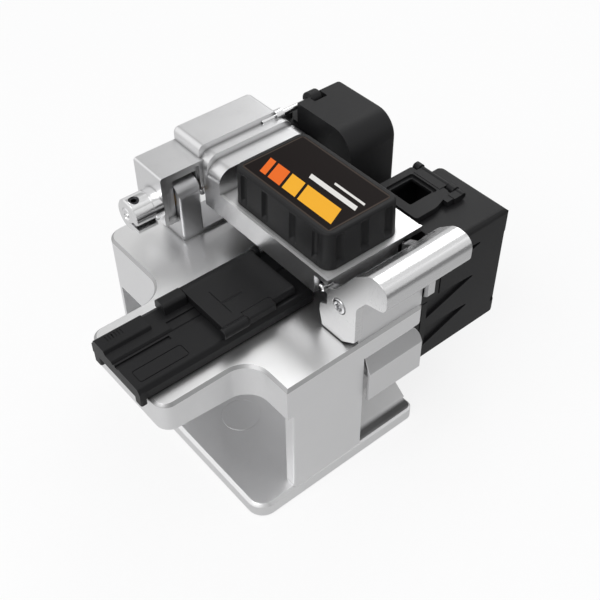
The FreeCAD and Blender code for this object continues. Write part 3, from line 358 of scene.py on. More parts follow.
@dataclass(frozen=True)
class MilledMetal:
    """Machined aluminium: fine cutter streaks, slow patches of tone and a soft blasted grain.

    The corners are darkened with painted shade.
    """

    name: str
    colour: Colour
    rough: float
    lay: Lay
    depth_mm: float = 0.006
    streak_mm: float = 0.16
    grain_mm: float = 0.10
    patch_mm: float = 9.0
    patch_swing: float = 0.05
    streak_swing: float = 0.08
    low_tone: float = 0.95
    corner_shade_tone: float = 0.30

    def build(self) -> bpy.types.Material:
        """Lay out the nodes.

        Returns:
            The material.
        """
        tree = Tree(self.name)
        streaks = tree.noise(self.streak_mm, 2.0, self.lay)
        patches = tree.noise(self.patch_mm)
        grain = tree.noise(self.grain_mm, 2.0)
        tone = tree.blend(patches * 0.5 + streaks * 0.5, shade(self.colour, self.low_tone), self.colour)
        # Painted shade: corners and slits that the occlusion term finds take a darker copy of the colour.
        tree.put("Base Color", tree.blend(tree.openness(), shade(self.colour, self.corner_shade_tone), tone))
        tree.put("Metallic", 1.0)
        tree.put("Roughness", self.rough + patches.swing(self.patch_swing) + streaks.swing(self.streak_swing))
        tree.bump(streaks * 0.5 + grain * 0.5, self.depth_mm)
        return tree.material


@dataclass(frozen=True)
class PolishedTopMetal:
    """A milled body whose upward faces between two heights are lapped and whose other faces are blasted.

    What lies in shade_box gets painted shade, and the rim of the top, between the heights rim_z, gets a
    painted darker reflection. Painted shade darkens the corners above the heights corner_shade_from_z.
    """

    name: str
    lapped_z: Span
    colour: Colour = (0.86, 0.86, 0.865)
    top_colour: Colour = (0.92, 0.92, 0.92)
    top_rough: float = 0.32
    side_rough: float = 0.42
    lay: Lay = Lay.ALONG_X
    shade_box: Optional[tuple[Span, Span, Span]] = None
    rim_z: Optional[Span] = None
    streak_mm: float = 0.22
    grain_mm: float = 0.12
    patch_mm: float = 11.0
    depth_mm: float = 0.008
    low_tone: float = 0.96
    painted_dark_tone: float = 0.52
    corner_shade_tone: float = 0.30
    corner_shade_from_z: Span = (-43.0, -41.0)
    upward: Span = (0.80, 0.97)
    rim_tilt: tuple[Span, Span] = ((0.08, 0.25), (0.93, 0.985))
    lapped_fade: float = 0.2
    rim_fade: float = 0.15
    shade_box_fade: Span = (1.5, 0.5)
    shade_box_uneven: float = 0.2
    side_swings: Span = (0.06, 0.12)
    top_swings: Span = (0.03, 0.05)
    top_relief: float = 0.25

    def shade_box_share(self, tree: Tree, patches: Term) -> Term:
        """Where the painted shade of the box lies: 1 inside it, a little uneven, with soft ends along each
        axis.

        Args:
            tree: the material's tree.
            patches: slow noise that makes it uneven.

        Returns:
            The share of the painted shade.
        """
        fade_in, fade_out = self.shade_box_fade
        inside = patches * self.shade_box_uneven + (1.0 - self.shade_box_uneven)
        for axis, (start, end) in enumerate(self.shade_box):
            inside = inside * tree.along(axis).band((start, start + fade_in), (end - fade_out, end))
        return inside

    def build(self) -> bpy.types.Material:
        """Lay out the nodes.

        Returns:
            The material.
        """
        tree = Tree(self.name)
        height, tilt = tree.along(2), tree.tilt()
        (low, high), fade = self.lapped_z, self.lapped_fade
        lapped = tilt.ramp(*self.upward) * height.band((low, low + fade), (high, high + fade))
        streaks = tree.noise(self.streak_mm, 2.0, self.lay)
        patches = tree.noise(self.patch_mm)
        grain = tree.noise(self.grain_mm, 2.0)
        side = tree.blend(patches, shade(self.colour, self.low_tone), self.colour)
        # A darker copy of the colour, used for painted shade and a painted darker reflection.
        painted_dark = shade(self.colour, self.painted_dark_tone)
        # Painted shade: inside the box, over the scoop under the push plate, the sides take the darker tone.
        if self.shade_box:
            side = tree.blend(self.shade_box_share(tree, patches), side, painted_dark)
        # Painted reflection: the rounded rim of the top takes the darker tone and loses its lapped share,
        # standing in for a darker reflection in it.
        if self.rim_z:
            (low, high), fade = self.rim_z, self.rim_fade
            rim = tilt.band(*self.rim_tilt) * height.band((low, low + fade), (high - fade, high))
            side = tree.blend(rim, side, painted_dark)
            lapped = lapped * (1.0 - rim)
        # Painted shade: corners and slits that the occlusion term finds take a darker copy of the colour,
        # above the given heights.
        unshaded = tree.openness().highest(1.0 - height.ramp(*self.corner_shade_from_z))
        tone = tree.blend(lapped, side, self.top_colour)
        tree.put("Base Color", tree.blend(unshaded, shade(self.colour, self.corner_shade_tone), tone))
        tree.put("Metallic", 1.0)
        slow, fine = self.side_swings
        satin = self.side_rough + patches.swing(slow) + grain.swing(fine)
        slow, fine = self.top_swings
        polish = self.top_rough + patches.swing(slow) + streaks.swing(fine)
        tree.put("Roughness", satin + (polish - satin) * lapped)
        tree.bump(grain * (1.0 - lapped) + streaks * lapped * self.top_relief, self.depth_mm)
        return tree.material


@dataclass(frozen=True)
class MouldedPlastic:
    """Black moulded plastic with a fine eroded texture, faint flow patches and dull scuffs."""

    name: str
    colour: Colour = (0.0105, 0.0105, 0.0112)
    rough: float = 0.48
    grain_mm: float = 0.22
    depth_mm: float = 0.02
    gloss: float = 0.22
    flow_mm: float = 14.0
    flow_tones: Span = (0.8, 1.15)
    scuff_mm: float = 1.6
    scuff_steps: Span = (0.62, 0.80)
    scuff_tone: float = 1.9
    scuff_share: float = 0.35
    grain_swing: float = 0.16
    flow_swing: float = 0.10
    scuff_rough: float = 0.08

    def build(self) -> bpy.types.Material:
        """Lay out the nodes.

        Returns:
            The material.
        """
        tree = Tree(self.name)
        cells = tree.pits(self.grain_mm)
        grain = tree.noise(self.grain_mm * 0.6)
        flow = tree.noise(self.flow_mm, 2.0)
        scuffs = tree.noise(self.scuff_mm, 4.0, Lay.ALONG_X).ramp(*self.scuff_steps)
        darker, lighter = self.flow_tones
        tone = tree.blend(flow, shade(self.colour, darker), shade(self.colour, lighter))
        scuffed = shade(self.colour, self.scuff_tone)
        tree.put("Base Color", tree.blend(scuffs * self.scuff_share, tone, scuffed))
        rough = self.rough + grain.swing(self.grain_swing) + flow.swing(self.flow_swing)
        tree.put("Roughness", rough + scuffs * self.scuff_rough)
        tree.put("Specular IOR Level", self.gloss)
        tree.bump(cells * 0.5 + grain * 0.5, self.depth_mm)
        return tree.material


@dataclass(frozen=True)
class TurnedMetal:
    """Turned or ground metal with fine rings about the X axis and a thin haze."""

    name: str
    colour: Colour
    rough: float
    pitch_mm: float = 0.09
    ring_fineness: Point = (1.0, 0.02, 0.02)
    haze_mm: float = 2.2
    depth_mm: float = 0.004
    low_tone: float = 0.92
    ring_swing: float = 0.10
    haze_rough: float = 0.05

    def build(self) -> bpy.types.Material:
        """Lay out the nodes.

        Returns:
            The material.
        """
        tree = Tree(self.name)
        rings = Term(tree, tree.node("ShaderNodeTexNoise", {}, {
            "Vector": tree.place(self.ring_fineness), "Scale": 1.0 / self.pitch_mm,
            "Detail": 2.0}).outputs[0])
        haze = tree.noise(self.haze_mm)
        tree.put("Base Color", tree.blend(haze, shade(self.colour, self.low_tone), self.colour))
        tree.put("Metallic", 1.0)
        tree.put("Roughness", self.rough + rings.swing(self.ring_swing) + haze * self.haze_rough)
        tree.bump(rings, self.depth_mm)
        return tree.material


@dataclass(frozen=True)
class SoftRubber:
    """Matt black rubber with a dusty bloom and fine pores."""

    name: str
    colour: Colour = (0.022, 0.022, 0.022)
    rough: float = 0.72
    pore_mm: float = 0.3
    pore_rough: float = 0.15
    bloom_mm: float = 2.5
    bloom_steps: Span = (0.5, 0.8)
    bloom_tone: float = 2.4
    bloom_share: float = 0.5
    depth_mm: float = 0.03

    def build(self) -> bpy.types.Material:
        """Lay out the nodes.

        Returns:
            The material.
        """
        tree = Tree(self.name)
        pores = tree.pits(self.pore_mm)
        bloom = tree.noise(self.bloom_mm, 4.0).ramp(*self.bloom_steps)
        dusty = shade(self.colour, self.bloom_tone)
        tree.put("Base Color", tree.blend(bloom * self.bloom_share, self.colour, dusty))
        tree.put("Roughness", self.rough + pores * self.pore_rough)
        tree.bump(pores, self.depth_mm)
        return tree.material


@dataclass(frozen=True)
class Bar:
    """A printed bar: its ink, its two sides in x, and its two ends in y at its left side."""

    ink: Colour
    x: Span
    y: Span

    def mask(self, tree: Tree, slant: float, blur_mm: float) -> Term:
        """1 inside the bar and 0 outside.

        Args:
            tree: the label's tree.
            slant: how far the ends lean in y for each millimetre of x.
            blur_mm: the width of the soft edge.

        Returns:
            The bar as a term.
        """
        (left, right), (low, high) = self.x, self.y
        across = tree.along(0)
        length = tree.along(1) - (across - left) * slant
        between_sides = across.band((left, left + blur_mm), (right, right + blur_mm))
        return between_sides * length.band((low, low + blur_mm), (high, high + blur_mm))


AMBER = (0.86, 0.42, 0.03)
ORANGE = (0.80, 0.15, 0.02)
PALE = (0.74, 0.73, 0.70)


@dataclass(frozen=True)
class LabelFilm:
    """A dark film with a thin rim line and plain printed bars, each with slanted ends.

    x and y are the film's edges, and the rim line lies as far inside them as rim_steps say.
    """

    name: str
    film: Colour = (0.0060, 0.0038, 0.0034)
    rim: Colour = (0.052, 0.040, 0.033)
    x: Span = (25.7, 48.2)
    y: Span = (15.0, 51.8)
    rim_steps: tuple[Span, Span] = ((-0.95, -0.75), (-0.40, -0.25))
    slant: float = 0.45
    blur_mm: float = 0.08
    speckle_mm: float = 0.25
    speckle_tone: float = 1.6
    speckle_swing: float = 0.10
    speckle_relief: float = 0.2
    wear_mm: float = 2.4
    wear_steps: Span = (0.62, 0.85)
    wear_share: float = 0.12
    wear_rough: float = 0.08
    rough: float = 0.42
    gloss: float = 0.05
    depth_mm: float = 0.012
    bars: tuple[Bar, ...] = (
        Bar(AMBER, (28.4, 34.4), (17.2, 30.6)),
        Bar(AMBER, (28.4, 34.4), (31.6, 37.0)),
        Bar(ORANGE, (28.4, 34.4), (38.0, 43.0)),
        Bar(ORANGE, (28.4, 34.4), (44.0, 46.4)),
        Bar(PALE, (36.6, 38.3), (17.2, 35.6)),
        Bar(PALE, (39.8, 40.6), (17.2, 29.0)),
    )

    def build(self) -> bpy.types.Material:
        """Lay out the nodes.

        Returns:
            The material.
        """
        tree = Tree(self.name)
        beyond_x, beyond_y = (abs(tree.along(axis) - (low + high) / 2) - (high - low) / 2
                              for axis, (low, high) in enumerate((self.x, self.y)))
        rim = beyond_x.highest(beyond_y).band(*self.rim_steps)
        speckle = tree.noise(self.speckle_mm, 2.0)
        wear = tree.noise(self.wear_mm, 4.0).ramp(*self.wear_steps)
        tone = tree.blend(speckle, self.film, shade(self.film, self.speckle_tone))
        tone = tree.blend(rim, tone, self.rim)
        print_share = 1.0 - wear * self.wear_share
        height = speckle * self.speckle_relief
        for bar in self.bars:
            mask = bar.mask(tree, self.slant, self.blur_mm)
            tone = tree.blend(mask * print_share, tone, bar.ink)
            height = height + mask
        tree.put("Base Color", tone)
        tree.put("Roughness", self.rough + speckle.swing(self.speckle_swing) + wear * self.wear_rough)
        tree.put("Specular IOR Level", self.gloss)
        tree.bump(height, self.depth_mm)
        return tree.material


class Finish(Enum):
    """Every finish of the cleaver, with the recipe that builds it."""

    # The body's box over the scoop gets painted shade, and its top rim gets a painted darker reflection.
    BODY = PolishedTopMetal("milled_body", (-0.6, 1.0), rim_z=(-1.0, 0.2),
                            shade_box=((24.0, 52.0), (0.4, 18.0), (-46.0, -6.0)))
    LEVER = PolishedTopMetal("lever_casting", (15.9, 16.9), colour=(0.78, 0.78, 0.785),
                             top_colour=(0.96, 0.96, 0.96), top_rough=0.52, side_rough=0.30,
                             lay=Lay.ALONG_Y)
    SATIN = MilledMetal("satin_milled", (0.76, 0.76, 0.765), 0.38, Lay.ALONG_X)
    HANDLE = MilledMetal("blasted_handle", (0.72, 0.72, 0.725), 0.26, Lay.ALONG_X)
    BRIGHT = MilledMetal("bright_plate", (0.80, 0.80, 0.805), 0.30, Lay.ALONG_X, depth_mm=0.003)
    COVER = MilledMetal("cover_plate", (0.55, 0.55, 0.56), 0.38, Lay.ALONG_Y)
    BLADE = TurnedMetal("ground_carbide", (0.52, 0.52, 0.54), 0.18)
    STEEL = TurnedMetal("turned_steel", (0.60, 0.60, 0.61), 0.24)
    DARK_STEEL = TurnedMetal("blackened_steel", (0.06, 0.06, 0.065), 0.35)
    CHROME = TurnedMetal("bright_chrome", (0.84, 0.84, 0.845), 0.13)
    BRONZE = TurnedMetal("bearing_bronze", (0.52, 0.36, 0.18), 0.32)
    MOULDED = MouldedPlastic("moulded_black")
    HOLDER = MouldedPlastic("holder_black", (0.0095, 0.0095, 0.0102), 0.42, grain_mm=0.16, depth_mm=0.012)
    RUBBER = SoftRubber("black_rubber")
    LABEL = LabelFilm("label_film")


# Mesh building


def ring_faces(rings: int, points: int) -> np.ndarray:
    """Quads between neighbouring rings of points, each ring closed on itself.

    Args:
        rings: how many rings.
        points: how many points in each.

    Returns:
        Point numbers, in an array of shape (faces, 4).
    """
    ring, point = np.meshgrid(np.arange(rings - 1), np.arange(points), indexing="ij")
    after = (point + 1) % points
    here, above = ring * points, (ring + 1) * points
    corners = (here + point, above + point, above + after, here + after)
    return np.stack(corners, -1).reshape(-1, 4)


def new_object(name: str, mesh: bpy.types.Mesh) -> bpy.types.Object:
    """Link a mesh into the scene as an object at the origin.

    Args:
        name: the object's name.
        mesh: its mesh.

    Returns:
        The object.
    """
    made = bpy.data.objects.new(name, mesh)
    bpy.context.scene.collection.objects.link(made)
    return made


def shade_smooth(mesh: bpy.types.Mesh, sharp_deg: float) -> None:
    """Shade a mesh smooth, apart from its edges over sharp_deg."""
    mesh.polygons.foreach_set("use_smooth", np.ones(len(mesh.polygons), dtype=bool))
    mesh.set_sharp_from_angle(angle=math.radians(sharp_deg))


def surface(name: str, grids: Sequence[np.ndarray], sharp_deg: float = 35.0) -> bpy.types.Object:
    """Turn one or more stacks of closed rings into a single closed, outward-facing mesh object.

    Args:
        name: the piece's name.
        grids: points of shape (rings, points, 3) in drawing mm; each ring is closed on itself.
        sharp_deg: edges with a larger angle are shaded sharp.

    Returns:
        The object, with its place in its mesh.
    """
    points, faces, start = [], [], 0
    for grid in grids:
        rings, count = grid.shape[:2]
        points.append(to_frame(grid.reshape(-1, 3)))
        faces.append(ring_faces(rings, count) + start)
        start += rings * count
    corners = np.concatenate(points)
    quads = np.concatenate(faces)
    mesh = bpy.data.meshes.new(name)
    mesh.vertices.add(len(corners))
    mesh.vertices.foreach_set("co", corners.ravel())
    mesh.loops.add(quads.size)
    mesh.loops.foreach_set("vertex_index", quads.ravel())
    mesh.polygons.add(len(quads))
    mesh.polygons.foreach_set("loop_start", np.arange(len(quads)) * 4)
    mesh.update(calc_edges=True)
    work = bmesh.new()
    work.from_mesh(mesh)
    bmesh.ops.remove_doubles(work, verts=work.verts, dist=SAME_POINT)
    bmesh.ops.dissolve_degenerate(work, edges=work.edges, dist=SAME_POINT / 2)
    bmesh.ops.recalc_face_normals(work, faces=work.faces)
    work.to_mesh(mesh)
    work.free()
    shade_smooth(mesh, sharp_deg)
    return new_object(name, mesh)


def turned(profile: Sequence[Span], centre: Sequence[float], axis: Axis, segments: int,
           lobes: Optional[Sequence[float]] = None) -> np.ndarray:
    """A surface of revolution: each (distance along the axis, radius) becomes a ring about the axis.

    A ring with a lobe height h has the radius r (1 + h cos 6a) at the angle a, which makes a
    six-lobed recess.

    Args:
        profile: pairs from one end to the other; radius 0 at both ends closes the piece.
        centre: a point on the axis, drawing mm; distances count from it.
        axis: the axis of revolution.
        segments: points in each ring.
        lobes: the lobe height of each ring, or None for round rings.

    Returns:
        Rings for surface().
    """
    along, size = np.array(profile, dtype=float).T
    angle = np.linspace(0.0, FULL_TURN, segments, endpoint=False)
    lobe = np.zeros(len(size)) if lobes is None else np.asarray(lobes, dtype=float)
    radius = size[:, None] * (1.0 + lobe[:, None] * np.cos(6.0 * angle))
    direction = np.array(axis.value)
    first = np.roll(direction, 1)
    second = np.cross(direction, first)
    ring = np.cos(angle)[:, None] * first + np.sin(angle)[:, None] * second
    return np.asarray(centre) + along[:, None, None] * direction + radius[..., None] * ring


def stub(ends: Span, radius: float, chamfer: float) -> list[Span]:
    """The profile of a plain pin with a small chamfer at both ends."""
    start, end = ends
    return [(start, 0.0), (start, radius - chamfer), (start + chamfer, radius), (end - chamfer, radius),
            (end, radius - chamfer), (end, 0.0)]


def tube(path: np.ndarray, radius: float, segments: int = 14) -> np.ndarray:
    """A round wire: a circle carried along a path, its plane square to the path at each point.

    Args:
        path: points of shape (n, 3) in drawing mm.
        radius: the wire's radius.
        segments: points in each circle.

    Returns:
        Rings for surface(), closed by a point at each end.
    """
    tangent = np.gradient(path, axis=0)
    tangent /= np.linalg.norm(tangent, axis=1, keepdims=True)
    side = np.cross(tangent, np.array(Axis.X.value))
    side /= np.maximum(np.linalg.norm(side, axis=1, keepdims=True), 1e-9)
    up = np.cross(side, tangent)
    angle = np.linspace(0.0, FULL_TURN, segments, endpoint=False)[None, :, None]
    rings = path[:, None] + radius * (np.cos(angle) * side[:, None] + np.sin(angle) * up[:, None])
    ends = np.repeat(path[[0, -1], None], segments, axis=1)
    return np.concatenate([ends[:1], rings, ends[1:]])


def softened(node: str, width_mm: float, segments: int) -> bpy.types.Object:
    """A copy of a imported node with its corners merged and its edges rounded.

    Args:
        node: the node's name; the copy's name ends in _rounded.
        width_mm: how far the rounding reaches from an edge.
        segments: faces across the rounding.

    Returns:
        The new object.
    """
    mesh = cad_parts[node].data.copy()
    mesh.name = node + "_rounded"
    mesh.materials.clear()
    work = bmesh.new()
    work.from_mesh(mesh)
    bmesh.ops.remove_doubles(work, verts=work.verts, dist=SAME_POINT)
    bmesh.ops.dissolve_limit(work, angle_limit=math.radians(FLAT_DEG), verts=work.verts, edges=work.edges)
    work.to_mesh(mesh)
    work.free()
    shade_smooth(mesh, EDGE_DEG)
    made = new_object(node + "_rounded", mesh)
    bevel = made.modifiers.new("edge", "BEVEL")
    bevel.width = width_mm * MM
    bevel.segments = segments
    bevel.limit_method = "ANGLE"
    bevel.angle_limit = math.radians(EDGE_DEG)
    bevel.use_clamp_overlap = True
    bevel.miter_outer = "MITER_ARC"
    smooth = made.modifiers.new("shade", "WEIGHTED_NORMAL")
    smooth.keep_sharp = False
    smooth.weight = 50
    return made


# Sub-assemblies


@dataclass
class SubAssembly:
    """What the sub-assemblies share: they dress their pieces and report them."""

    finishes: dict[Finish, bpy.types.Material]
    body: Body = Body.BASE

    def dress(self, piece: bpy.types.Object, finish: Finish, slot: Slot, replaced: str,
              body: Optional[Body] = None) -> None:
        """Give a new piece its material and its body, and hide the node that it stands for.

        Args:
            piece: the object.
            finish: its finish.
            slot: the record's material slot; not used.
            replaced: the node that it hides.
            body: the body that it rides on, if not the sub-assembly's own.
        """
        rides_on = (body or self.body).value
        piece.data.materials.clear()
        piece.data.materials.append(self.finishes[finish])
        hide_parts(replaced)
        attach(piece, rides_on)
        LOG.info("%s on %s, %d faces", piece.name, rides_on, len(piece.data.polygons))

    def repaint(self, finish: Finish, *nodes: str) -> None:
        """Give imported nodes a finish.

        Args:
            finish: the finish.
            nodes: the nodes' names.
        """
        for name in nodes:
            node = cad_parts[name]
            node.data.materials.clear()
            node.data.materials.append(self.finishes[finish])
            LOG.info("%s repainted", name)

    def round_edges(self, node: str, finish: Finish, slot: Slot, width_mm: float, segments: int = 2,
                    body: Optional[Body] = None) -> None:
        """Replace a node by its rounded copy in a finish."""
        self.dress(softened(node, width_mm, segments), finish, slot, node, body)


@dataclass
class Base(SubAssembly):
    """The milled body with its hinge stand, latch block, clamps, rails and feet."""

    foot_places: tuple[Span, ...] = ((-3.3, 7.0), (-3.3, 75.0), (41.6, 7.0), (41.6, 75.0))
    foot_radius: float = 4.0
    foot_z: Span = (-48.1, -46.7)
    foot_groove: float = 0.25
    foot_groove_radii: tuple[float, ...] = (0.62, 0.56, 0.44, 0.38)
    coil_radius: float = 3.6
    wire_radius: float = 0.5
    coil_start: float = 21.4
    coil_pitch: float = 1.3
    coil_turns: int = 5
    coil_steps: int = 40
    leg_foot_z: float = 1.3
    leg_y: float = HINGE_YZ[0] - 0.4
    leg_points: int = 8
    pivot_yz: Span = (5.5, 12.2)
    pivot_screws_x: tuple[Point, ...] = ((20.95, 22.25, 28.3), (50.65, 49.35, 43.3))
    head_radius: float = 2.25
    stem_radius: float = 1.25
    key_radius: float = 1.05

    def feet(self) -> None:
        """Four rubber pads: each a turned disc with a shallow ring groove in its face.

        The groove's four radii are shares of the pad's radius.
        """
        low, high = self.foot_z
        radius = self.foot_radius
        disc = [(high, 0.0), (high, radius), (low + 0.45, radius), (low + 0.12, radius - 0.12),
                (low, radius - 0.5)]
        depths = (0.0, self.foot_groove, self.foot_groove, 0.0)
        groove = [(low + depth, radius * share) for depth, share in zip(depths, self.foot_groove_radii)]
        profile = disc + groove + [(low, 0.0)]
        pads = [turned(profile, (x, y, 0.0), Axis.Z, segments=48) for x, y in self.foot_places]
        self.dress(surface("foot_pads", pads), Finish.RUBBER, Slot.RUBBER, "rubber_feet")

    def spring(self) -> None:
        """The opening spring: a straight leg up from the stand, then a helix about the shaft.

        At the angle a the helix has x = start + pitch a / 2 pi, and y and z lie on a circle about the
        hinge's axis.
        """
        hinge_y, hinge_z = HINGE_YZ
        angle = np.linspace(0.0, self.coil_turns * FULL_TURN, self.coil_turns * self.coil_steps)
        coil = np.stack([self.coil_start + self.coil_pitch * angle / FULL_TURN,
                         hinge_y + self.coil_radius * np.sin(angle),
                         hinge_z - self.coil_radius * np.cos(angle)], -1)
        leg_z = np.linspace(self.leg_foot_z, hinge_z - self.coil_radius - self.wire_radius, self.leg_points)
        leg = np.stack([np.full(self.leg_points, self.coil_start),
                        np.full(self.leg_points, self.leg_y), leg_z], -1)
        wire = tube(np.concatenate([leg, coil]), self.wire_radius)
        self.dress(surface("lever_spring", [wire]), Finish.STEEL, Slot.STEEL, "opening_spring")

    def pivot_screws(self) -> None:
        """The handle's two screws: a domed head with a six-lobed recess, then a plain stem.

        Each step of the profile is how far in from the face it lies, its radius and its lobe height.
        """
        head, stem, key = self.head_radius, self.stem_radius, self.key_radius
        grids = []
        for face, seat, end in self.pivot_screws_x:
            inward = 1.0 if end > face else -1.0
            under, length = abs(seat - face), abs(end - face)
            recess = [(1.0, 0.0, 0.0), (0.95, key * 0.8, 0.12), (0.85, key, 0.14), (0.12, key, 0.14),
                      (0.05, key + 0.1, 0.10)]
            dome = [(0.0, key + 0.35, 0.0), (0.02, head - 0.35, 0.0), (0.12, head - 0.12, 0.0),
                    (0.35, head, 0.0), (under, head, 0.0)]
            shank = [(under, stem, 0.0), (length - 0.2, stem, 0.0), (length, stem - 0.2, 0.0),
                     (length, 0.0, 0.0)]
            steps = recess + dome + shank
            profile = [(face + inward * depth, radius) for depth, radius, _ in steps]
            lobes = [lobe for _, _, lobe in steps]
            grids.append(turned(profile, (0.0, *self.pivot_yz), Axis.X, segments=96, lobes=lobes))
        screws = surface("pivot_screws", grids, sharp_deg=40.0)
        self.dress(screws, Finish.STEEL, Slot.STEEL, "handle_pivot_screws")

    def build(self) -> None:
        """Make and dress every piece of the base."""
        self.round_edges("base_frame", Finish.BODY, Slot.BLASTED, 0.35, 3)
        self.round_edges("latch_block", Finish.SATIN, Slot.BLASTED, 0.35, 3)
        self.round_edges("hinge_pedestal", Finish.COVER, Slot.BLASTED, 0.4)
        self.round_edges("roller_bearer", Finish.MOULDED, Slot.PLASTIC, 0.25)
        self.round_edges("holder_rail", Finish.STEEL, Slot.STEEL, 0.15)
        self.round_edges("underside_cover", Finish.COVER, Slot.CARRIAGE, 0.2)
        self.feet()
        self.spring()
        self.pivot_screws()
        self.repaint(Finish.STEEL, "underside_screws", "carriage_guide_rail", "holder_rail_screws",
                     "lower_clamp_blocks", "collector_axle")
        self.repaint(Finish.RUBBER, "lower_clamp_pads")
        self.repaint(Finish.BRONZE, "hinge_bushings")
        self.repaint(Finish.CHROME, "closing_magnet")


@dataclass
class Lever(SubAssembly):
    """The lever casting with its cover box, label, pins, collar and clamps."""

    body: Body = Body.LEVER
    box_x: Span = (24.0, 49.9)
    box_y: Span = (13.2, 53.6)
    box_z: Span = (16.2, 28.0)
    draft: float = 0.45
    corner: float = 3.4
    lip: float = 0.7
    groove_deep: float = 1.15
    groove_half: float = 1.3
    groove_above_foot: float = 1.4
    groove_below_lip: float = 0.4
    groove_run: float = 0.8
    side_grooves: tuple[float, ...] = (18.4, 27.6, 39.2, 48.4)
    end_grooves: tuple[float, ...] = (28.4, 36.9, 45.4)
    field_inset: float = 1.5
    field_deep: float = 0.25
    field_slope: float = 0.15
    wall_rings: int = 26
    lip_rings: int = 6
    ring_points: int = 720
    catch_x: Span = (21.2, 50.6)
    catch_yz: Span = (12.8, 13.2)
    catch_radius: float = 1.1
    catch_chamfer: float = 0.35
    drive_x: Span = (44.5, 66.0)
    drive_yz: Span = (66.3, 26.0)
    drive_radius: float = 0.9
    drive_chamfer: float = 0.15
    shaft_x: Span = (-1.5, 50.6)
    shaft_radius: float = 2.5
    shaft_chamfer: float = 0.4

    def outline(self, inset: np.ndarray) -> np.ndarray:
        """Rounded rectangles as arrays: straight runs and quarter circles by arc length.

        Args:
            inset: how far each rectangle lies inside the box's foot, one value per ring.

        Returns:
            Points of shape (rings, points, 2) and their outward normals, stacked on the last axis.
        """
        (left, right), (front, rear) = self.box_x, self.box_y
        wide, deep = (right - left) / 2 - self.corner, (rear - front) / 2 - self.corner
        quarter = self.corner * math.pi / 2
        runs = (0, 2 * wide, quarter, 2 * deep, quarter, 2 * wide, quarter, 2 * deep, quarter)
        ends = np.cumsum(runs)
        travel = np.linspace(0.0, ends[-1], self.ring_points, endpoint=False)
        angle = np.radians(np.interp(travel, ends, (-90, -90, 0, 0, 90, 90, 180, 180, 270)))
        core_x = np.interp(travel, ends, (-wide, wide, wide, wide, wide, -wide, -wide, -wide, -wide))
        core_y = np.interp(travel, ends, (-deep, -deep, -deep, deep, deep, deep, deep, -deep, -deep))
        normal = np.stack([np.cos(angle), np.sin(angle)], -1)
        core = np.stack([core_x, core_y], -1) + np.array(((left + right) / 2, (front + rear) / 2))
        reach = self.corner - np.asarray(inset)[:, None, None]
        normals = np.broadcast_to(normal, (len(inset), self.ring_points, 2))
        return np.concatenate([core + reach * normal, normals], -1)

    def sunk(self, place: np.ndarray, normal: np.ndarray) -> np.ndarray:
        """The grooves' depth from 0 to 1: half circles across, on the box's straight faces.

        Args:
            place: x and y of the wall's points.
            normal: x and y of their outward normals.

        Returns:
            One value per point.
        """
        depth = np.zeros(place.shape[:2])
        for axis, centres in ((1, self.side_grooves), (0, self.end_grooves)):
            on_face = np.abs(normal[..., 1 - axis]) > 0.9
            for centre in centres:
                across = np.clip(np.abs(place[..., axis] - centre) / self.groove_half, 0, 1)
                depth = np.maximum(depth, on_face * np.sqrt(1.0 - across ** 2))
        return depth

    def cover(self) -> None:
        """The cover box: rounded rectangles stacked with draft, a rounded lip and sunk upright grooves.

        The inset grows with height by the draft, and over the lip by lip (1 - cos a) while the
        height grows by lip sin a. The label's field is sunk into the top.
        """
        low, high = self.box_z
        shoulder = high - self.lip
        bend = np.linspace(0.0, math.pi / 2, self.lip_rings + 1)[1:]
        rise = np.concatenate([np.linspace(low, shoulder, self.wall_rings),
                               shoulder + self.lip * np.sin(bend)])
        rounding = np.concatenate([np.zeros(self.wall_rings), self.lip * (1 - np.cos(bend))])
        rings = self.outline(self.draft * (rise - low) / (high - low) + rounding)
        place, normal = rings[..., :2], rings[..., 2:]
        height = rise[:, None]
        over_foot = np.clip((height - low - self.groove_above_foot) / self.groove_run, 0, 1)
        under_lip = np.clip((shoulder - self.groove_below_lip - height) / self.groove_run, 0, 1)
        depth = self.sunk(place, normal) * over_foot * under_lip * self.groove_deep
        place = place - normal * depth[..., None]
        wall = np.concatenate([place, np.broadcast_to(height[..., None], (*place.shape[:2], 1))], -1)
        inset = self.draft + self.field_inset
        edge = self.outline(np.array([inset, inset + self.field_slope]))[..., :2]
        field_z = high - self.field_deep
        levels = np.array((high, field_z))[:, None, None]
        field = np.concatenate([edge, np.broadcast_to(levels, (2, self.ring_points, 1))], -1)
        middle = np.array((sum(self.box_x) / 2, sum(self.box_y) / 2))
        foot, top = (np.broadcast_to(np.append(middle, z), (1, self.ring_points, 3)) for z in (low, field_z))
        box = surface("ribbed_cover", [np.concatenate([foot, wall, field, top])])
        self.dress(box, Finish.MOULDED, Slot.PLASTIC, "cover_box")

    def pins(self) -> None:
        """Catch pin, drive pin and hinge shaft as turned bars with eased ends.

        The shaft has a ring groove in its left end.
        """
        profile = stub(self.catch_x, self.catch_radius, self.catch_chamfer)
        catch = turned(profile, (0.0, *self.catch_yz), Axis.X, segments=40)
        self.dress(surface("catch_bar", [catch]), Finish.CHROME, Slot.CHROME, "catch_pin")
        profile = stub(self.drive_x, self.drive_radius, self.drive_chamfer)
        drive = turned(profile, (0.0, *self.drive_yz), Axis.X, segments=40)
        self.dress(surface("drive_bar", [drive]), Finish.CHROME, Slot.CHROME, "drive_pin")
        left = self.shaft_x[0]
        groove = [(left, 0.7), (left + 0.6, 1.0), (left + 0.3, 1.3), (left, 1.5)]
        profile = stub(self.shaft_x, self.shaft_radius, self.shaft_chamfer)
        shaft = turned(profile[:1] + groove + profile[1:], (0.0, *HINGE_YZ), Axis.X, segments=64)
        self.dress(surface("hinge_bar", [shaft]), Finish.CHROME, Slot.CHROME, "hinge_shaft")

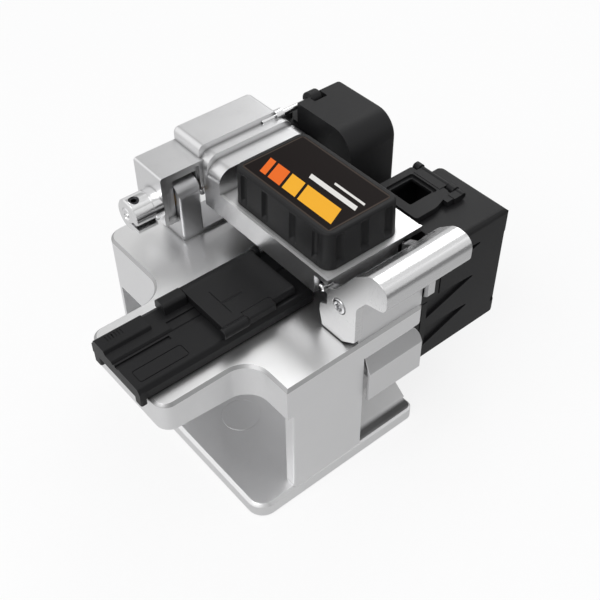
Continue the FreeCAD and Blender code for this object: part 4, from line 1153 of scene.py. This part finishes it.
    def build(self) -> None:
        """Make and dress every piece of the lever."""
        self.round_edges("lever_frame", Finish.LEVER, Slot.POLISHED, 0.45, 3)
        self.cover()
        self.pins()
        self.round_edges("clamp_collar", Finish.CHROME, Slot.CHROME, 0.25, 3)
        self.round_edges("drive_arm", Finish.MOULDED, Slot.PLASTIC, 0.3)
        self.round_edges("anvil", Finish.STEEL, Slot.ANVIL, 0.15)
        self.repaint(Finish.LABEL, "label_plate")
        self.repaint(Finish.STEEL, "cover_screws", "upper_clamp_blocks")
        self.repaint(Finish.DARK_STEEL, "collar_screw")
        self.repaint(Finish.RUBBER, "upper_clamp_pads")


@dataclass
class Handle(SubAssembly):
    """The half-round latch handle."""

    body: Body = Body.HANDLE

    def build(self) -> None:
        """Round the handle's edges and blast it."""
        self.round_edges("latch_handle", Finish.HANDLE, Slot.BLASTED, 0.45, 3)


@dataclass
class Carriage(SubAssembly):
    """The blade carriage, its push plate and the blade."""

    body: Body = Body.CARRIAGE
    blade_centre: Point = (34.1, 22.0, -4.5)
    blade_radius: float = 8.98
    land_radius: float = 7.8
    bore_radius: float = 1.55
    half_thick: float = 0.5

    def wheel(self) -> None:
        """The blade: a turned ring with flat lands, bevelled to a sharp rim."""
        half, bore, land = self.half_thick, self.bore_radius, self.land_radius
        profile = [(-half, bore), (-half, land), (0.0, self.blade_radius), (half, land), (half, bore),
                   (-half, bore)]
        ring = turned(profile, self.blade_centre, Axis.X, segments=120)
        blade = surface("round_blade", [ring], sharp_deg=20.0)
        self.dress(blade, Finish.BLADE, Slot.CARBIDE, "blade_wheel", Body.BLADE)

    def build(self) -> None:
        """Make and dress every piece of the carriage."""
        self.round_edges("push_plate", Finish.BRIGHT, Slot.BLASTED, 0.25, 3)
        self.round_edges("blade_carriage", Finish.SATIN, Slot.CARRIAGE, 0.3)
        self.round_edges("carriage_slide_block", Finish.STEEL, Slot.CARRIAGE, 0.25)
        self.repaint(Finish.STEEL, "blade_screw")
        self.wheel()


@dataclass
class Holder(SubAssembly):
    """The fibre holder with its lid, clip and finger roll."""

    body: Body = Body.HOLDER

    def build(self) -> None:
        """Make and dress every piece of the holder."""
        self.round_edges("holder_base", Finish.HOLDER, Slot.PLASTIC, 0.22)
        for node, width_mm in (("holder_lid", 0.22), ("holder_lid_clip", 0.25), ("holder_lid_grip", 0.3)):
            self.round_edges(node, Finish.HOLDER, Slot.PLASTIC, width_mm, body=Body.HOLDER_LID)
        self.repaint(Finish.STEEL, "holder_lid_pin")
        self.repaint(Finish.RUBBER, "holder_lid_pad")


@dataclass
class Collector(SubAssembly):
    """The scrap collector's housing, rollers, bin and bin lid."""

    roller_x: float = 53.2
    lower_z: float = 1.25
    upper_z: float = 7.15
    roller_y: Span = (26.0, 40.0)
    roller_radius: float = 2.8
    shaft_y: Span = (23.6, 48.0)
    shaft_radius: float = 1.0
    shaft_chamfer: float = 0.15
    grooves: int = 8
    groove_deep: float = 0.22
    ring_points: int = 192

    def roller(self, name: str, height: float, node: str, body: Body) -> None:
        """A roller: a bar with rounded grooves round it, on a thin shaft.

        With w = (1 - cos 8a) / 2 at the angle a, the bar's radius is its full radius less the groove's
        depth times 1 - 3w, or times 0 where that is negative.

        Args:
            name: the piece's name.
            height: z of the roller's axis.
            node: the node that it stands for.
            body: the body that it rides on.
        """
        angle = np.linspace(0.0, FULL_TURN, self.ring_points, endpoint=False)
        wave = 0.5 - 0.5 * np.cos(self.grooves * angle)
        skin = self.roller_radius - self.groove_deep * np.clip(1.0 - 3.0 * wave, 0.0, 1.0)
        front, rear = self.roller_y
        stations = np.array([front, front, front + 0.3, rear - 0.3, rear, rear])
        radius = np.array([0.0, 0.9, 1.0, 1.0, 0.9, 0.0])[:, None] * skin
        skin_rings = np.stack([self.roller_x + radius * np.cos(angle),
                               np.broadcast_to(stations[:, None], radius.shape),
                               height + radius * np.sin(angle)], -1)
        profile = stub(self.shaft_y, self.shaft_radius, self.shaft_chamfer)
        shaft = turned(profile, (self.roller_x, 0.0, height), Axis.Y, segments=32)
        made = surface(name, [skin_rings, shaft], sharp_deg=40.0)
        self.dress(made, Finish.RUBBER, Slot.RUBBER, node, body)

    def build(self) -> None:
        """Make and dress every piece of the collector."""
        self.round_edges("collector_housing", Finish.MOULDED, Slot.PLASTIC, 0.5, 3)
        self.round_edges("scrap_bin", Finish.MOULDED, Slot.PLASTIC, 0.35, body=Body.BIN)
        self.round_edges("bin_door", Finish.MOULDED, Slot.PLASTIC, 0.25, body=Body.BIN_LID)
        self.repaint(Finish.DARK_STEEL, "housing_screws", "bin_door_pin")
        self.roller("roller_low", self.lower_z, "lower_scrap_roller", Body.LOWER_ROLLER)
        self.roller("roller_high", self.upper_z, "upper_scrap_roller", Body.UPPER_ROLLER)


# Stage


@dataclass(frozen=True)
class Patch:
    """A lighter or darker patch of the room, seen only in gloss.

    amount is added to the room's level, rising as the cosine of the angle to toward goes from start
    to full.
    """

    toward: Point
    start: float
    full: float
    amount: float


@dataclass(frozen=True)
class Lamp:
    """A square soft lamp: its place and size in metres and its power in watts."""

    name: str
    place: Point
    size: float
    power: float


@dataclass
class Studio:
    """A pale floor, soft lamps, a plain room and the camera of the photograph.

    floor_gloss is how bright the floor shows in gloss at the far right, near the part and at the
    left; it changes over near_run and left_run, which are spans of y - x in drawing millimetres.
    """

    lens: float = 58.73
    sensor: float = 36.0
    eye: Point = (-97.9, -124.8, 187.8)
    right: Point = (0.7694, -0.6387, -0.0082)
    up: Point = (0.4521, 0.5355, 0.7133)
    aim: Point = (0.0, 0.0, 0.03)
    floor_z: float = -0.00002
    floor_half: float = 3.0
    floor_tones: tuple[Colour, Colour] = ((0.86, 0.86, 0.86), (0.90, 0.90, 0.90))
    floor_grain_mm: float = 3.0
    floor_rough: float = 0.9
    floor_gloss: tuple[float, float, float] = (0.12, 0.52, 0.68)
    near_run: Span = (-340.0, -150.0)
    left_run: Span = (-40.0, 90.0)
    glow_share: float = 0.82
    room_light: Colour = (0.62, 0.62, 0.63)
    room_gloss: float = 0.78
    patches: tuple[Patch, ...] = (
        Patch((-0.45, -0.55, 0.70), 0.70, 0.97, -0.30),
        Patch((0.45, -0.85, 0.26), 0.76, 0.94, -0.58),
        Patch((0.45, -0.18, 0.87), 0.96, 0.995, 0.20),
        Patch((0.20, 0.77, 0.60), 0.93, 0.99, -0.30),
        Patch((-0.50, 0.58, 0.64), 0.70, 0.95, 0.24),
    )
    lamps: tuple[Lamp, ...] = (
        Lamp("key", (-0.50, -0.10, 0.70), 0.50, 2.8),
        Lamp("fill", (0.55, -0.60, 0.45), 0.70, 1.0),
        Lamp("rear", (0.60, 0.37, 0.70), 0.40, 1.3),
    )

    def camera(self) -> None:
        """Stand the camera where the photograph was taken."""
        right, up = Vector(self.right).normalized(), Vector(self.up)
        up = (up - right * up.dot(right)).normalized()
        back = right.cross(up)
        made = bpy.data.objects.new("camera", bpy.data.cameras.new("camera"))
        bpy.context.scene.collection.objects.link(made)
        place = Matrix((right, up, back)).transposed().to_4x4()
        place.translation = Vector(to_frame(np.array(self.eye)))
        made.matrix_world = place
        made.data.sensor_width = self.sensor
        made.data.lens = self.lens
        made.data.clip_start = 0.01
        bpy.context.scene.camera = made

    def lights(self) -> None:
        """Hang the lamps and turn each to the middle of the part."""
        for lamp in self.lamps:
            light = bpy.data.lights.new(lamp.name, "AREA")
            light.shape = "SQUARE"
            light.size = lamp.size
            light.energy = lamp.power
            made = bpy.data.objects.new(lamp.name, light)
            bpy.context.scene.collection.objects.link(made)
            made.location = lamp.place
            toward = Vector(self.aim) - Vector(lamp.place)
            made.rotation_euler = toward.to_track_quat("-Z", "Y").to_euler()

    def world(self) -> None:
        """Make the room: white to the eye, soft grey as light, pale with patches in gloss."""
        world = bpy.data.worlds.new("room")
        bpy.context.scene.world = world
        graph = Graph(world)
        where = graph.node("ShaderNodeTexCoord").outputs["Generated"]
        level: Value = self.room_gloss
        for patch in self.patches:
            facing = Term(graph, graph.node("ShaderNodeVectorMath", {"operation": "DOT_PRODUCT"}, {
                0: where, 1: tuple(Vector(patch.toward).normalized())}).outputs[1])
            level = facing.ramp(patch.start, patch.full) * patch.amount + level
        gloss = graph.node("ShaderNodeBackground", {}, {"Color": level})
        lit = graph.node("ShaderNodeBackground", {}, {"Color": self.room_light})
        seen = graph.node("ShaderNodeBackground", {}, {"Color": (1.0, 1.0, 1.0)})
        path = graph.node("ShaderNodeLightPath")
        unseen = graph.mix_shaders(path.outputs["Is Glossy Ray"], lit, gloss)
        room = graph.mix_shaders(path.outputs["Is Camera Ray"], unseen, seen)
        graph.node("ShaderNodeOutputWorld", {}, {"Surface": room.outputs[0]})

    def floor(self) -> None:
        """A wide pale floor that reads white and keeps the part's soft shadow."""
        half, z = self.floor_half, self.floor_z
        mesh = bpy.data.meshes.new("floor")
        corners = [(-half, -half, z), (half, -half, z), (half, half, z), (-half, half, z)]
        mesh.from_pydata(corners, [], [(0, 1, 2, 3)])
        made = new_object("floor", mesh)
        tree = Tree("pale_floor")
        tree.put("Base Color", tree.blend(tree.noise(self.floor_grain_mm, 2.0), *self.floor_tones))
        tree.put("Roughness", self.floor_rough)
        path = tree.node("ShaderNodeLightPath")
        to_eye, to_gloss = (Term(tree, path.outputs[name]) for name in ("Is Camera Ray", "Is Glossy Ray"))
        far, near, left = self.floor_gloss
        side = tree.along(1) - tree.along(0)
        mirrored = side.ramp(*self.near_run) * (near - far) + far
        mirrored = side.ramp(*self.left_run) * (left - near) + mirrored
        glow = tree.node("ShaderNodeEmission", {}, {"Color": to_eye.highest(mirrored), "Strength": 1.0})
        mix = tree.mix_shaders(to_eye.highest(to_gloss) * self.glow_share, tree.shader, glow)
        tree.feed(tree.output.inputs["Surface"], mix.outputs[0])
        made.data.materials.append(tree.material)

    def build(self) -> None:
        """Set up floor, lamps, world, camera and the view transform."""
        self.floor()
        self.lights()
        self.world()
        self.camera()
        bpy.context.scene.view_settings.view_transform = "Standard"


def main() -> None:
    """Build the looks in order."""
    logging.basicConfig(level=logging.INFO, format="%(name)s: %(message)s")
    finishes = {finish: finish.value.build() for finish in Finish}
    for assembly in (Base, Lever, Handle, Carriage, Holder, Collector):
        assembly(finishes).build()
    Studio().build()
    bpy.context.view_layer.update()


if __name__ == "__main__":
    main()
